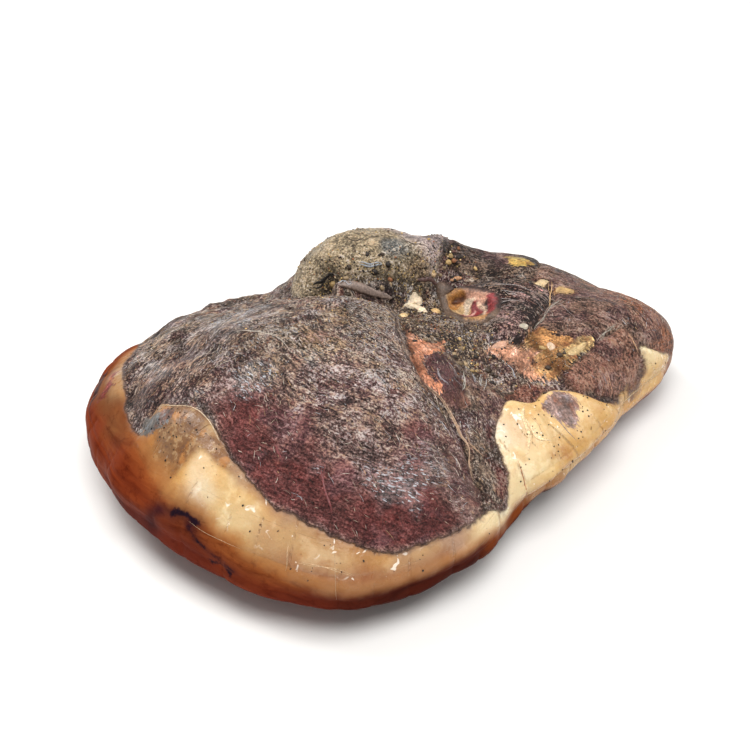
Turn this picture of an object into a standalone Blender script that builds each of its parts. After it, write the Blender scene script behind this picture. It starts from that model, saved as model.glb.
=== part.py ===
# Speck ham: one boned and pressed leg of pork, smoked and dried, lying with its cut side up.
# The butt end points to -X, the shank tip to +X, and the rind is underneath and round the sides.
# Plan places and heights below are in centimetres, and CM turns them into metres.

import math

import bpy
import bmesh
import numpy as np

CM = 0.01

FULL_TURN = 2.0 * math.pi

# Moves the middle of the ham's box onto the origin, in plan
PLAN_SHIFT = (-0.65, -0.57)

# Widest outline: its radius every 15 degrees anticlockwise from +X, and its height above the table
RIM_RADIUS = [18.2, 17.6, 15.5, 11.8, 13.4, 13.9, 12.9, 14.3, 15.8, 17.3, 17.8, 17.3,
              16.8, 16.2, 16.0, 15.9, 14.4, 13.0, 11.2, 10.7, 11.3, 12.5, 14.1, 18.3]
RIM_HEIGHT = [2.9, 3.0, 3.1, 3.2, 3.5, 3.7, 3.7, 3.7, 3.4, 3.3, 3.1, 3.2,
              3.0, 2.9, 2.7, 2.6, 2.6, 2.7, 2.8, 3.0, 3.1, 3.0, 2.9, 2.8]

# Cut face: a level with broad masses on it, each (centre x, centre y, radius, radius, turn, rise, squareness)
FACE_LEVEL = 5.9
MASSES = {
    "main_muscle": (-7.6, -1.8, 9.7, 9.0, 25.0, 4.3, 3.2),
    "knob": (4.8, 8.9, 4.9, 3.6, -14.0, 3.6, 5.0),
    "back_ridge": (10.1, 5.6, 5.0, 3.1, -38.0, 1.75, 2.8),
    "shank_lobes": (11.9, -3.2, 5.0, 4.7, 0.0, 1.3, 2.6),
    "tip": (15.8, -4.3, 4.0, 3.2, -20.0, 0.55, 2.6),
}
TOP_ROUNDING = (2.6, 2.5)
BELLY_ROUNDING = (0.9, 2.4)
FLAT_SPOT_DEPTH = 0.25

# The spot that the weight presses flat: its corners, how far it stands proud, and how deep it is joined
FLAT_SPOT_CORNERS = [(6.4, 3.4), (-6.8, 4.4), (-5.8, -4.8), (5.6, -3.8)]
FLAT_SPOT_STEP = 0.04
FLAT_SPOT_JOIN = 1.0

# Outline of all the lean on the cut face
LEAN = [(-13.1, 8.0), (-13.7, 6.9), (-14.3, 5.4), (-14.7, 3.6), (-14.8, 2.2), (-14.2, 2.3), (-12.9, 3.5),
        (-12.4, 1.6), (-12.1, 0.0), (-12.6, -2.4), (-12.5, -4.8), (-12.1, -6.9), (-11.2, -8.6),
        (-9.9, -10.3), (-8.4, -11.4), (-6.2, -11.9), (-4.0, -11.9), (-1.9, -11.6), (0.0, -10.8),
        (0.8, -9.6), (1.4, -8.1), (2.6, -7.0), (3.6, -6.4), (5.8, -6.2), (7.7, -6.9), (9.8, -7.5),
        (11.9, -7.1), (13.6, -6.4), (14.2, -5.6), (15.6, -5.6), (17.4, -5.2), (18.2, -3.0), (17.6, -0.5),
        (16.4, 2.5), (14.0, 6.0), (11.3, 8.6), (9.0, 11.0), (5.6, 12.0), (1.6, 11.6), (-1.6, 10.4),
        (-4.6, 11.2), (-8.5, 12.6), (-11.5, 11.0)]

# Separate muscles on the cut face: outline, how proud it stands, and how wide its rounded edge is
MUSCLES = {
    "main_muscle": ([(-13.1, 8.0), (-14.3, 5.4), (-14.8, 2.4), (-12.9, 3.5), (-12.1, 0.0), (-12.6, -2.4),
                     (-12.5, -4.8), (-12.1, -6.9), (-11.2, -8.6), (-9.9, -10.3), (-8.4, -11.4),
                     (-6.2, -11.9), (-4.0, -11.9), (-1.9, -11.5), (-1.3, -9.6), (-1.0, -7.4),
                     (-1.1, -5.2), (-0.6, -3.0), (0.5, -0.9), (1.7, 1.3), (2.6, 3.2), (0.6, 4.4),
                     (-0.7, 5.6), (-2.2, 7.2), (-4.6, 9.4), (-8.5, 11.6), (-11.5, 10.6)], 0.35, 2.4),
    "knob": ([(-1.0, 7.4), (0.2, 6.8), (1.8, 6.1), (3.8, 5.0), (5.6, 4.5), (7.4, 5.2), (9.0, 7.0),
              (9.4, 9.4), (7.2, 11.2), (3.8, 11.8), (0.8, 11.0), (-1.0, 9.4)], 0.55, 1.6),
    "fan": ([(6.4, 3.9), (8.2, 3.6), (10.2, 2.9), (11.7, 1.8), (11.9, 0.0), (9.9, -1.0), (8.4, -2.2),
             (7.4, -2.6), (6.6, -1.9), (6.6, -0.6), (7.2, 0.5), (8.4, 1.5), (8.2, 2.6), (7.2, 3.4)],
            0.35, 1.3),
    "tip": ([(12.0, 0.0), (10.0, -1.2), (8.5, -2.5), (9.6, -3.4), (10.7, -4.7), (12.0, -4.6),
             (13.4, -4.4), (13.9, -5.5), (15.6, -5.5), (17.4, -5.0), (18.0, -3.0), (17.4, -0.5),
             (15.4, 2.4), (13.0, 3.2), (11.9, 1.8)], 0.30, 1.4),
    "disc": ([(10.9, -4.9), (12.2, -4.6), (13.5, -4.5), (13.9, -5.6), (13.0, -6.7), (11.6, -7.2),
              (9.9, -7.4), (8.0, -6.9), (7.9, -5.9), (9.2, -5.3)], 0.30, 1.0),
    "small_lobe": ([(0.3, -2.9), (1.3, -2.4), (2.0, -2.9), (1.5, -4.3), (0.8, -6.0), (0.0, -6.3),
                    (-0.5, -5.0), (-0.2, -3.8)], 0.35, 0.8),
    "strip": ([(-0.4, 6.6), (1.0, 5.7), (2.4, 5.1), (3.6, 4.7), (3.3, 4.1), (2.2, 4.4), (0.6, 5.3),
               (-0.8, 6.2)], 0.25, 0.45),
    "back_ridge": ([(7.4, 5.2), (9.8, 3.9), (12.0, 2.6), (13.4, 3.4), (14.4, 5.2), (11.6, 8.4),
                    (9.6, 9.4), (8.8, 7.0)], 0.30, 1.0),
}

# Lines on the cut face: route, rise (a groove is below zero) and half width
LINES = {
    "main_seam": ([(2.6, 3.2), (1.7, 1.3), (0.5, -0.9), (-0.6, -3.0), (-1.1, -5.2), (-1.0, -7.4),
                   (-1.3, -9.6), (-1.9, -11.3)], -0.18, 0.35),
    "seam_valley": ([(2.6, 3.2), (0.5, -0.9), (-1.1, -5.2), (-1.9, -11.3)], -0.20, 1.3),
    "crevice": ([(-1.6, 7.3), (-0.4, 6.8), (1.5, 6.0), (2.7, 5.4), (4.2, 4.7), (5.6, 4.3)], -0.9, 0.45),
    "fat_fold": ([(4.3, -8.0), (4.0, -9.2), (3.4, -10.2), (2.6, -10.8)], 0.30, 0.5),
}

# Hollows and their lips: (centre x, centre y, radius, radius, turn, rise)
HOLLOWS = {
    "spice_valley": (4.0, -3.6, 1.5, 2.6, 20.0, -0.7),
    "bone_socket": (7.0, 2.2, 0.9, 0.6, -30.0, -0.9),
    "socket_lip": (7.0, 2.0, 1.7, 1.4, -30.0, 0.25),
}
HOLLOW_SQUARENESS = 2.4

# Fat that swells over the edge of the lean, everywhere, at the butt and along the right side
FAT_ROLL = 0.12
BUTT_FAT_ROLL = 0.30
SIDE_FAT_ROLL = 0.40
FAT_ROLL_WIDTH = 1.1

# Marks left by the netting: strings up the sides and round them
NET_PITCH = 2.25
NET_DEPTH = 0.16
NET_HALF_WIDTH = 0.42
NET_ROW_START = 0.84
NET_ROW_STEP = 0.145
NET_ROW_SPAN = 14.0
NET_ROW_DEPTH = 0.08
NET_ROW_HALF_WIDTH = 0.25

# Reach over which relief of the cut face fades out, and height over which the belly's relief starts
RIM_BAND = (0.88, 1.0)
TABLE_CLEARANCE = (0.1, 0.9)

# Loose unevenness of the flesh: (wave length, depth, seed)
UNEVENNESS = [(7.0, 0.10, 5), (3.2, 0.05, 8)]
WAVE_COUNT = 14

# Pressed-in spice and fat crumbs: (centre x, centre y, radius, radius, turn, count, smallest, largest)
CRUMBS = {
    "valley_spice": (3.6, -1.6, 1.6, 3.4, 15.0, 20, 0.26, 0.36),
    "crevice_spice": (3.0, 5.6, 3.6, 0.7, -24.0, 16, 0.26, 0.38),
    "dark_cluster": (7.0, 6.2, 1.5, 1.0, -20.0, 10, 0.32, 0.46),
    "pale_chips": (4.3, 3.4, 0.8, 0.5, -30.0, 4, 0.55, 0.70),
    "orange_fat_spice": (8.2, -4.6, 1.4, 0.9, -35.0, 8, 0.26, 0.36),
}
CRUMB_SEED = 41
CRUMB_FLATNESS = 0.6
CRUMB_GAP = 1.15

# Mesh fineness
PATCH_CELLS = 110
BODY_FACES = 9200
WELD_DISTANCE = 0.00002


def remove_scene_objects():
    for item in list(bpy.data.objects):
        bpy.data.objects.remove(item, do_unlink=True)


def periodic(values, angle):
    """Smooth closed curve through values spaced evenly by angle."""
    values = np.asarray(values)
    place = np.mod(angle / FULL_TURN, 1.0) * len(values)
    first = np.floor(place).astype(int) % len(values)
    part = place - np.floor(place)
    before, start, end, after = (values[(first + step) % len(values)] for step in (-1, 0, 1, 2))
    bend = 2.0 * before - 5.0 * start + 4.0 * end - after
    twist = 3.0 * start - before - 3.0 * end + after
    return 0.5 * (2.0 * start + (end - before) * part + bend * part**2 + twist * part**3)


def smooth_route(points, closed, pieces=4):
    """Points along a smooth curve through a few corner points."""
    points = np.asarray(points)
    if closed:
        ring = np.concatenate([points[-1:], points, points[:2]])
    else:
        ring = np.concatenate([2 * points[:1] - points[1:2], points, 2 * points[-1:] - points[-2:-1]])
    part = np.linspace(0.0, 1.0, pieces, endpoint=False)[:, None, None]
    before, start, end, after = ring[:-3], ring[1:-2], ring[2:-1], ring[3:]
    bend = 2.0 * before - 5.0 * start + 4.0 * end - after
    twist = 3.0 * start - before - 3.0 * end + after
    curve = 0.5 * (2.0 * start + (end - before) * part + bend * part**2 + twist * part**3)
    curve = curve.transpose(1, 0, 2).reshape(-1, 2)
    return np.concatenate([curve, points[:1] if closed else points[-1:]])


def distance_to_route(x, y, route):
    """Distance in plan from each point to the nearest place on a route."""
    nearest = np.full(x.shape, np.inf)
    for start, end in zip(route[:-1], route[1:]):
        run = end - start
        share = ((x - start[0]) * run[0] + (y - start[1]) * run[1]) / (run @ run)
        share = np.clip(share, 0.0, 1.0)
        gap = np.hypot(x - start[0] - share * run[0], y - start[1] - share * run[1])
        nearest = np.minimum(nearest, gap)
    return nearest


def depth_inside(x, y, outline):
    """Distance in plan from a closed outline, above zero inside it."""
    route = smooth_route(outline, closed=True)
    inside = np.zeros(x.shape, bool)
    for (x0, y0), (x1, y1) in zip(route[:-1], route[1:]):
        if y0 != y1:
            crossing = x0 + (x1 - x0) * (y - y0) / (y1 - y0)
            inside ^= ((y0 > y) != (y1 > y)) & (x < crossing)
    return np.where(inside, 1.0, -1.0) * distance_to_route(x, y, route)


def dome(depth, width):
    """Rounded step from 0 at an edge to 1 at width inside it."""
    short = 1.0 - np.clip(depth / width, 0.0, 1.0)
    return np.sqrt(1.0 - short**2)


def blend(value, low, high):
    """Soft change from 0 at low to 1 at high."""
    share = np.clip((value - low) / (high - low), 0.0, 1.0)
    return share**2 * (3.0 - 2.0 * share)


def lobe(x, y, centre_x, centre_y, radius_x, radius_y, turn, squareness, sharpness=1.0):
    """Soft lobe in plan: 1 at its centre and falling away at its radii."""
    cos_turn, sin_turn = math.cos(math.radians(turn)), math.sin(math.radians(turn))
    along = ((x - centre_x) * cos_turn + (y - centre_y) * sin_turn) / radius_x
    across = ((y - centre_y) * cos_turn - (x - centre_x) * sin_turn) / radius_y
    return np.exp(-sharpness * (along**2 + across**2) ** (squareness / 2.0))


def waves(points, length, seed):
    """Smooth unevenness: the sum of waves that run in seeded directions."""
    chance = np.random.default_rng(seed)
    total = np.zeros(points.shape[:-1])
    for _ in range(WAVE_COUNT):
        direction = chance.normal(size=3)
        direction *= FULL_TURN / length / np.linalg.norm(direction) * chance.uniform(0.6, 1.5)
        total += np.sin(points @ direction + chance.uniform(0.0, FULL_TURN))
    return total / math.sqrt(WAVE_COUNT / 2.0)


def square_to_disk(a, b):
    """Reach (0 at the centre, 1 at the edge) and angle of a point of the square -1..1 made round."""
    reach = np.maximum(np.abs(a), np.abs(b))
    wide = np.abs(a) > np.abs(b)
    ratio_wide = b / np.where(a == 0.0, 1.0, a)
    ratio_tall = a / np.where(b == 0.0, 1.0, b)
    angle = np.where(wide, math.pi / 4 * ratio_wide, math.pi / 2 - math.pi / 4 * ratio_tall)
    turned = np.where(wide, a < 0.0, b < 0.0)
    return reach, np.where(turned, angle + math.pi, angle)


def face_height(x, y):
    """Height of the cut face: the level and its broad masses."""
    height = np.full(x.shape, FACE_LEVEL)
    for centre_x, centre_y, radius_x, radius_y, turn, rise, squareness in MASSES.values():
        height += rise * lobe(x, y, centre_x, centre_y, radius_x, radius_y, turn, squareness, 0.7)
    return height


def plain_form(reach, angle, belly):
    """The ham without relief: the upper patch rounds over to the rim, the belly rounds under it."""
    radius = periodic(RIM_RADIUS, angle)
    rim = periodic(RIM_HEIGHT, angle)
    quarter = reach * math.pi / 2
    if belly:
        spread = np.sin(quarter) ** BELLY_ROUNDING[0]
        hollow = np.clip(1.0 - spread ** BELLY_ROUNDING[1], 0.0, 1.0)
        height = rim * (1.0 - np.sqrt(hollow)) - FLAT_SPOT_DEPTH
        height = np.where(reach > 0.999, rim, np.maximum(height, FLAT_SPOT_STEP))
        x, y = spread * radius * np.cos(angle), spread * radius * np.sin(angle)
    else:
        spread = np.sin(quarter) ** (2.0 / TOP_ROUNDING[0])
        x, y = spread * radius * np.cos(angle), spread * radius * np.sin(angle)
        fall = np.clip(np.cos(quarter), 0.0, 1.0) ** (2.0 / TOP_ROUNDING[1])
        height = rim + (face_height(x, y) - rim) * fall
    return np.stack([x, y, height], axis=-1)


def way_round(angle):
    """Distance along the widest outline, and its whole length."""
    turn = np.linspace(0.0, FULL_TURN, 721)
    radius = periodic(RIM_RADIUS, turn)
    steps = np.hypot(np.diff(radius * np.cos(turn)), np.diff(radius * np.sin(turn)))
    run = np.concatenate([[0.0], np.cumsum(steps)])
    return np.interp(angle % FULL_TURN, turn, run), run[-1]


def net_marks(reach, angle, belly):
    """Grooves of the netting on the fat and rind."""
    run, whole = way_round(angle)
    count = round(whole / NET_PITCH)
    string = run / whole * count
    string = (string + 0.12 * np.sin(2.1 * string)) % 1.0
    string = np.minimum(string, 1.0 - string) * NET_PITCH
    down = 2.0 - reach if belly else reach
    row = (down - NET_ROW_START) / NET_ROW_STEP % 1.0
    row = np.minimum(row, 1.0 - row) * NET_ROW_STEP * NET_ROW_SPAN
    marks = NET_DEPTH * np.exp(-(string / NET_HALF_WIDTH) ** 2)
    marks += NET_ROW_DEPTH * np.exp(-(row / NET_ROW_HALF_WIDTH) ** 2)
    return marks * blend(down, 0.72, 0.85)


def fat_roll(x, y, angle, lean_depth):
    """Fat swelling where it meets the lean."""
    butt = blend(-x, 9.0, 12.0) * blend(-y, -4.5, -2.0) * (1.0 - blend(-y, 2.0, 6.0))
    degrees = np.degrees(angle) % 360.0
    side = blend(x, 0.0, 2.5) * blend(degrees, 250.0, 275.0) * (1.0 - blend(degrees, 345.0, 355.0))
    rise = FAT_ROLL + BUTT_FAT_ROLL * butt + SIDE_FAT_ROLL * side
    return rise * dome(-lean_depth, FAT_ROLL_WIDTH)


def face_relief(x, y, angle, lean_depth):
    """Muscles, seams, hollows and fat edges of the cut face."""
    out = fat_roll(x, y, angle, lean_depth)
    for outline, rise, width in MUSCLES.values():
        out += rise * dome(depth_inside(x, y, outline), width)
    for route, rise, half_width in LINES.values():
        gap = distance_to_route(x, y, smooth_route(route, closed=False))
        out += rise * np.exp(-(gap / half_width) ** 2)
    for *place, rise in HOLLOWS.values():
        out += rise * lobe(x, y, *place, HOLLOW_SQUARENESS)
    return out


def relief(reach, angle, points, belly):
    """How far the surface stands out from the plain form. Both patches agree at the rim."""
    x, y, height = points[..., 0], points[..., 1], points[..., 2]
    out = np.zeros(x.shape)
    for length, depth, seed in UNEVENNESS:
        out += depth * waves(points, length, seed)
    marks = net_marks(reach, angle, belly)
    if belly:
        out -= marks
        clear_of_table = blend(height, *TABLE_CLEARANCE)
        return np.where(height < TABLE_CLEARANCE[1], np.minimum(out, 0.0), out) * clear_of_table
    lean_depth = depth_inside(x, y, LEAN)
    at_rim = blend(reach, *RIM_BAND)
    out -= marks * np.maximum(blend(-lean_depth, 0.3, 1.0), at_rim)
    return out + face_relief(x, y, angle, lean_depth) * (1.0 - at_rim)


def ham_surface(reach, angle, belly):
    """Points of the finished surface in metres."""
    points = plain_form(reach, angle, belly)
    sideways = reach**3
    upright = (sideways - 1.0) if belly else (1.0 - sideways)
    way_out = np.stack([np.cos(angle) * sideways, np.sin(angle) * sideways, upright], axis=-1)
    way_out /= np.linalg.norm(way_out, axis=-1, keepdims=True)
    points = points + way_out * relief(reach, angle, points, belly)[..., None]
    points[..., 0] += PLAN_SHIFT[0]
    points[..., 1] += PLAN_SHIFT[1]
    return points * CM


def add_patch(mesh, belly):
    """One square grid, made round and laid on the upper side or the belly."""
    made = bmesh.ops.create_grid(mesh, x_segments=PATCH_CELLS, y_segments=PATCH_CELLS, size=1.0)
    corners = made["verts"]
    flat = np.array([corner.co[:2] for corner in corners])
    flat /= np.abs(flat).max()
    reach, angle = square_to_disk(flat[:, 0], flat[:, 1])
    for corner, place in zip(corners, ham_surface(reach, angle, belly)):
        corner.co = place
    if belly:
        faces = {face for corner in corners for face in corner.link_faces}
        bmesh.ops.reverse_faces(mesh, faces=list(faces))


def make_body(collection):
    """The ham as one closed mesh, thinned to few faces where it is smooth."""
    mesh = bmesh.new()
    add_patch(mesh, belly=False)
    add_patch(mesh, belly=True)
    bmesh.ops.remove_doubles(mesh, verts=mesh.verts, dist=WELD_DISTANCE)
    bmesh.ops.triangulate(mesh, faces=mesh.faces)
    data = bpy.data.meshes.new("speck_ham")
    mesh.to_mesh(data)
    mesh.free()
    body = bpy.data.objects.new("speck_ham", data)
    collection.objects.link(body)
    thin = body.modifiers.new("thin_out", "DECIMATE")
    thin.ratio = BODY_FACES / len(data.polygons)
    return body


def crumb_places():
    """Where each crumb lies and how large it is, no two touching, by seeded draws."""
    chance = np.random.default_rng(CRUMB_SEED)
    placed = []
    for centre_x, centre_y, radius_x, radius_y, turn, count, smallest, largest in CRUMBS.values():
        cos_turn, sin_turn = math.cos(math.radians(turn)), math.sin(math.radians(turn))
        wanted = len(placed) + count
        while len(placed) < wanted:
            spread, way = math.sqrt(chance.random()), chance.uniform(0.0, FULL_TURN)
            along, across = radius_x * spread * math.cos(way), radius_y * spread * math.sin(way)
            x = centre_x + along * cos_turn - across * sin_turn
            y = centre_y + along * sin_turn + across * cos_turn
            size = chance.uniform(smallest, largest)
            clear = [math.hypot(x - other[0], y - other[1]) > CRUMB_GAP * (size + other[2]) / 2
                     for other in placed]
            if all(clear):
                placed.append((x, y, size))
    return placed


def on_cut_face(x, y):
    """The point of the finished upper surface at a place in plan."""
    angle = np.array([math.atan2(y, x)])
    spread = np.clip(math.hypot(x, y) / periodic(RIM_RADIUS, angle), 0.0, 1.0)
    reach = np.arcsin(spread ** (TOP_ROUNDING[0] / 2.0)) * 2.0 / math.pi
    return ham_surface(reach, angle, belly=False)[0]


def make_crumbs(collection):
    """Each crumb is a small uneven stone, half sunk in the surface."""
    chance = np.random.default_rng(CRUMB_SEED + 1)
    for number, (x, y, size) in enumerate(crumb_places()):
        mesh = bmesh.new()
        bmesh.ops.create_icosphere(mesh, subdivisions=1, radius=size * CM / 2)
        for corner in mesh.verts:
            corner.co *= chance.uniform(0.8, 1.15)
            corner.co.z *= CRUMB_FLATNESS
        data = bpy.data.meshes.new(f"crumb_{number}")
        mesh.to_mesh(data)
        mesh.free()
        crumb = bpy.data.objects.new(f"crumb_{number}", data)
        crumb.location = on_cut_face(x, y)
        crumb.rotation_euler = (0.0, 0.0, chance.uniform(0.0, FULL_TURN))
        collection.objects.link(crumb)


def make_flat_spot(collection):
    """The pressed spot with its four corners, reaching up into the body."""
    places = [((x + PLAN_SHIFT[0]) * CM, (y + PLAN_SHIFT[1]) * CM) for x, y in FLAT_SPOT_CORNERS]
    corners = [(x, y, height * CM) for height in (0.0, FLAT_SPOT_JOIN) for x, y in places]
    sides = [(0, 1, 5, 4), (1, 2, 6, 5), (2, 3, 7, 6), (3, 0, 4, 7)]
    data = bpy.data.meshes.new("flat_spot")
    data.from_pydata(corners, [], [(3, 2, 1, 0), (4, 5, 6, 7)] + sides)
    collection.objects.link(bpy.data.objects.new("flat_spot", data))


def fuse_crumbs(body, crumbs):
    """One union joins the crumbs and the flat spot to the body, and their own objects go."""
    union = body.modifiers.new("fuse_crumbs", "BOOLEAN")
    union.operation = "UNION"
    union.operand_type = "COLLECTION"
    union.collection = crumbs
    union.solver = "EXACT"
    depsgraph = bpy.context.evaluated_depsgraph_get()
    fused = bpy.data.meshes.new_from_object(body.evaluated_get(depsgraph))
    body.modifiers.clear()
    body.data = fused
    for crumb in list(crumbs.objects):
        bpy.data.objects.remove(crumb, do_unlink=True)
    bpy.data.collections.remove(crumbs)


def cured_meat():
    """Dark maroon lean, the largest part of what shows."""
    material = bpy.data.materials.new("cured_meat")
    material.use_nodes = True
    shader = material.node_tree.nodes["Principled BSDF"]
    shader.inputs["Base Color"].default_value = (0.16, 0.07, 0.055, 1.0)
    shader.inputs["Roughness"].default_value = 0.55
    shader.inputs["Metallic"].default_value = 0.0
    return material


def main():
    remove_scene_objects()
    part = bpy.data.collections.new("speck_ham")
    crumbs = bpy.data.collections.new("crumbs")
    for collection in (part, crumbs):
        bpy.context.scene.collection.children.link(collection)
    body = make_body(part)
    make_crumbs(crumbs)
    make_flat_spot(crumbs)
    fuse_crumbs(body, crumbs)
    body.data.materials.clear()
    body.data.materials.append(cured_meat())
    body.data.shade_smooth()


main()
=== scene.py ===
# Speck ham: the looks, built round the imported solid.
# Plan places and heights are in centimetres, as a butcher would measure them; cm makes them metres.
import math

import bpy
import numpy as np
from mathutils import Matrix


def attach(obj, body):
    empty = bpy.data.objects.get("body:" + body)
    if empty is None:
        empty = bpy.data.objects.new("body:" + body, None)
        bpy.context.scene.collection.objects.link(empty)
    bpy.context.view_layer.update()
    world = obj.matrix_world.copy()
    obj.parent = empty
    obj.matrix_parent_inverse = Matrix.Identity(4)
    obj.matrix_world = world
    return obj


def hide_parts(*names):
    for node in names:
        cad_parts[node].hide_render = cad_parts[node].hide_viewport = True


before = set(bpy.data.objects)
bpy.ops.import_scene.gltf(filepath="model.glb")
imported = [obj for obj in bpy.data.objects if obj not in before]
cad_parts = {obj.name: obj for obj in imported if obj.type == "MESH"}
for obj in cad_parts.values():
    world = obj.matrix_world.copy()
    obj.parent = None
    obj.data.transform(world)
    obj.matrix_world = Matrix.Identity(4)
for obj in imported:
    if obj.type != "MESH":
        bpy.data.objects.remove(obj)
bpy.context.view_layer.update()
cm = 0.01
fullTurn = 2 * math.pi

# the form, as on the solid: radius and height of the widest outline every 15 degrees from +X
form = dict(
    rimRadius=[18.2, 17.6, 15.5, 11.8, 13.4, 13.9, 12.9, 14.3, 15.8, 17.3, 17.8, 17.3,
               16.8, 16.2, 16.0, 15.9, 14.4, 13.0, 11.2, 10.7, 11.3, 12.5, 14.1, 18.3],
    rimHeight=[2.9, 3.0, 3.1, 3.2, 3.5, 3.7, 3.7, 3.7, 3.4, 3.3, 3.1, 3.2,
               3.0, 2.9, 2.7, 2.6, 2.6, 2.7, 2.8, 3.0, 3.1, 3.0, 2.9, 2.8],
    planShift=(-0.65, -0.57),
    faceLevel=5.9,
    topRounding=(2.6, 2.5),
    bellyRounding=(0.9, 2.4),
    flatSpotDepth=0.25,
    cells=220,  # grid cells across each of the two patches
)

# broad masses on the cut face: centre x, centre y, radius, radius, turn, rise, squareness
masses = dict(
    mainMuscle=(-7.6, -1.8, 9.7, 9.0, 25.0, 4.3, 3.2),
    knob=(4.8, 8.9, 4.9, 3.6, -14.0, 3.6, 5.0),
    backRidge=(10.1, 5.6, 5.0, 3.1, -38.0, 1.75, 2.8),
    shankLobes=(11.9, -3.2, 5.0, 4.7, 0.0, 1.3, 2.6),
    tip=(15.8, -4.3, 4.0, 3.2, -20.0, 0.55, 2.6),
)

leanOutline = [(-13.0, 8.2), (-13.6, 6.9), (-14.3, 5.4), (-14.8, 3.8), (-15.0, 2.6), (-14.3, 2.8),
               (-13.3, 3.0), (-13.0, 1.8), (-12.5, 0.5), (-12.35, -0.9), (-12.55, -2.4), (-12.65, -3.6),
               (-12.5, -4.8), (-12.1, -6.9), (-11.2, -8.6), (-9.9, -10.3), (-8.4, -11.4), (-6.2, -11.9),
               (-4.0, -11.9), (-1.9, -11.6), (-0.1, -11.0), (0.9, -9.7), (1.4, -8.1), (2.6, -7.0),
               (3.6, -6.4), (5.0, -6.7), (6.4, -6.4), (7.8, -6.9), (9.4, -7.8), (10.9, -7.4), (12.6, -6.8),
               (13.6, -6.4), (13.9, -5.7), (15.6, -5.7), (17.4, -5.1), (18.4, -3.0), (18.4, 0.5),
               (17.2, 3.5), (15.2, 7.0), (12.4, 9.6), (9.6, 12.2), (5.8, 13.3), (1.6, 13.6), (-1.6, 13.9),
               (-4.6, 14.8), (-8.2, 14.6), (-10.9, 11.7), (-12.1, 10.2)]

# muscles on the cut face: outline, how proud it stands, width of its rounded edge
muscles = dict(
    mainMuscle=([(-12.8, 8.0), (-14.0, 5.4), (-14.6, 2.6), (-12.9, 3.5), (-12.1, 0.0), (-12.6, -2.4),
                 (-12.5, -4.8), (-12.1, -6.9), (-11.2, -8.6), (-9.9, -10.3), (-8.4, -11.4), (-6.2, -11.9),
                 (-4.0, -11.9), (-1.9, -11.5), (-1.3, -9.6), (-1.0, -7.4), (-1.1, -5.2), (-0.6, -3.0),
                 (0.5, -0.9), (1.7, 1.3), (2.6, 3.2), (0.6, 4.4), (-0.7, 5.6), (-2.2, 7.2), (-4.6, 9.4),
                 (-8.5, 11.6), (-11.5, 10.6)], 0.35, 2.4),
    knob=([(-1.0, 7.4), (0.2, 6.8), (1.8, 6.1), (3.8, 5.0), (5.6, 4.5), (7.4, 5.2), (9.0, 7.0),
           (9.4, 9.4), (7.2, 11.2), (3.8, 11.8), (0.8, 11.0), (-1.0, 9.4)], 0.55, 1.6),
    fan=([(6.4, 3.9), (8.2, 3.6), (10.2, 2.9), (11.7, 1.8), (11.9, 0.0), (9.9, -1.0), (8.4, -2.2),
          (7.4, -2.6), (6.6, -1.9), (6.6, -0.6), (7.2, 0.5), (8.4, 1.5), (8.2, 2.6), (7.2, 3.4)], 0.35, 1.3),
    tip=([(12.0, 0.0), (10.0, -1.2), (8.5, -2.5), (9.6, -3.4), (10.7, -4.7), (12.0, -4.6), (13.4, -4.4),
          (13.9, -5.5), (15.6, -5.5), (17.4, -5.0), (18.0, -3.0), (17.4, -0.5), (15.4, 2.4), (13.0, 3.2),
          (11.9, 1.8)], 0.30, 1.4),
    disc=([(10.9, -4.9), (12.2, -4.6), (13.5, -4.5), (13.9, -5.6), (13.0, -6.7), (11.6, -7.2),
           (9.9, -7.4), (8.0, -6.9), (7.9, -5.9), (9.2, -5.3)], 0.30, 1.0),
    smallLobe=([(0.3, -2.9), (1.3, -2.4), (2.0, -2.9), (1.5, -4.3), (0.8, -6.0), (0.0, -6.3),
                (-0.5, -5.0), (-0.2, -3.8)], 0.35, 0.8),
    strip=([(0.2, 6.5), (1.0, 6.1), (2.2, 5.6), (3.4, 5.2), (3.3, 4.7), (2.2, 4.9), (1.0, 5.4),
            (0.0, 6.0)], 0.85, 0.5),
    backRidge=([(7.4, 5.2), (9.8, 3.9), (12.0, 2.6), (13.4, 3.4), (14.4, 5.2), (11.6, 8.4),
                (9.6, 9.4), (8.8, 7.0)], 0.30, 1.0),
)

# lines on the cut face: route, rise (below zero a groove), half width
faceLines = dict(
    mainSeam=([(2.6, 3.2), (1.7, 1.3), (0.5, -0.9), (-0.6, -3.0), (-1.1, -5.2), (-1.0, -7.4),
               (-1.3, -9.6), (-1.9, -11.3)], -0.18, 0.35),
    seamValley=([(2.6, 3.2), (0.5, -0.9), (-1.1, -5.2), (-1.9, -11.3)], -0.20, 1.3),
    pocket=([(-1.6, 7.3), (-0.4, 7.2), (0.6, 7.1)], -0.9, 0.40),
    crevice=([(0.6, 7.1), (1.4, 6.2), (2.9, 5.6), (4.2, 5.1), (5.6, 4.8)], -0.35, 0.35),
    ridgeLine=([(-7.9, 4.3), (-7.3, 3.2), (-6.9, 2.0), (-6.7, 0.7), (-6.8, -0.6)], 0.10, 0.30),
    lumpGroove=([(-9.2, 9.0), (-9.6, 6.2), (-9.6, 3.9), (-9.6, 2.3)], -0.14, 0.40),
    leftGroove=([(-13.4, 6.5), (-13.3, 4.6), (-12.4, 3.4), (-11.4, 2.2)], -0.14, 0.45),
    fatFold=([(4.3, -8.0), (4.0, -9.2), (3.4, -10.2), (2.6, -10.8)], 0.30, 0.5),
)

# hollows and their lips: centre x, centre y, radius, radius, turn, rise
hollows = dict(
    spiceValley=(4.0, -3.6, 1.5, 2.6, 20.0, -0.7),
    boneSocket=(7.1, 2.1, 1.7, 1.3, -60.0, -0.75),
    farRise=(-1.2, 4.9, 3.6, 2.2, -35.0, 0.5),
)

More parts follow.
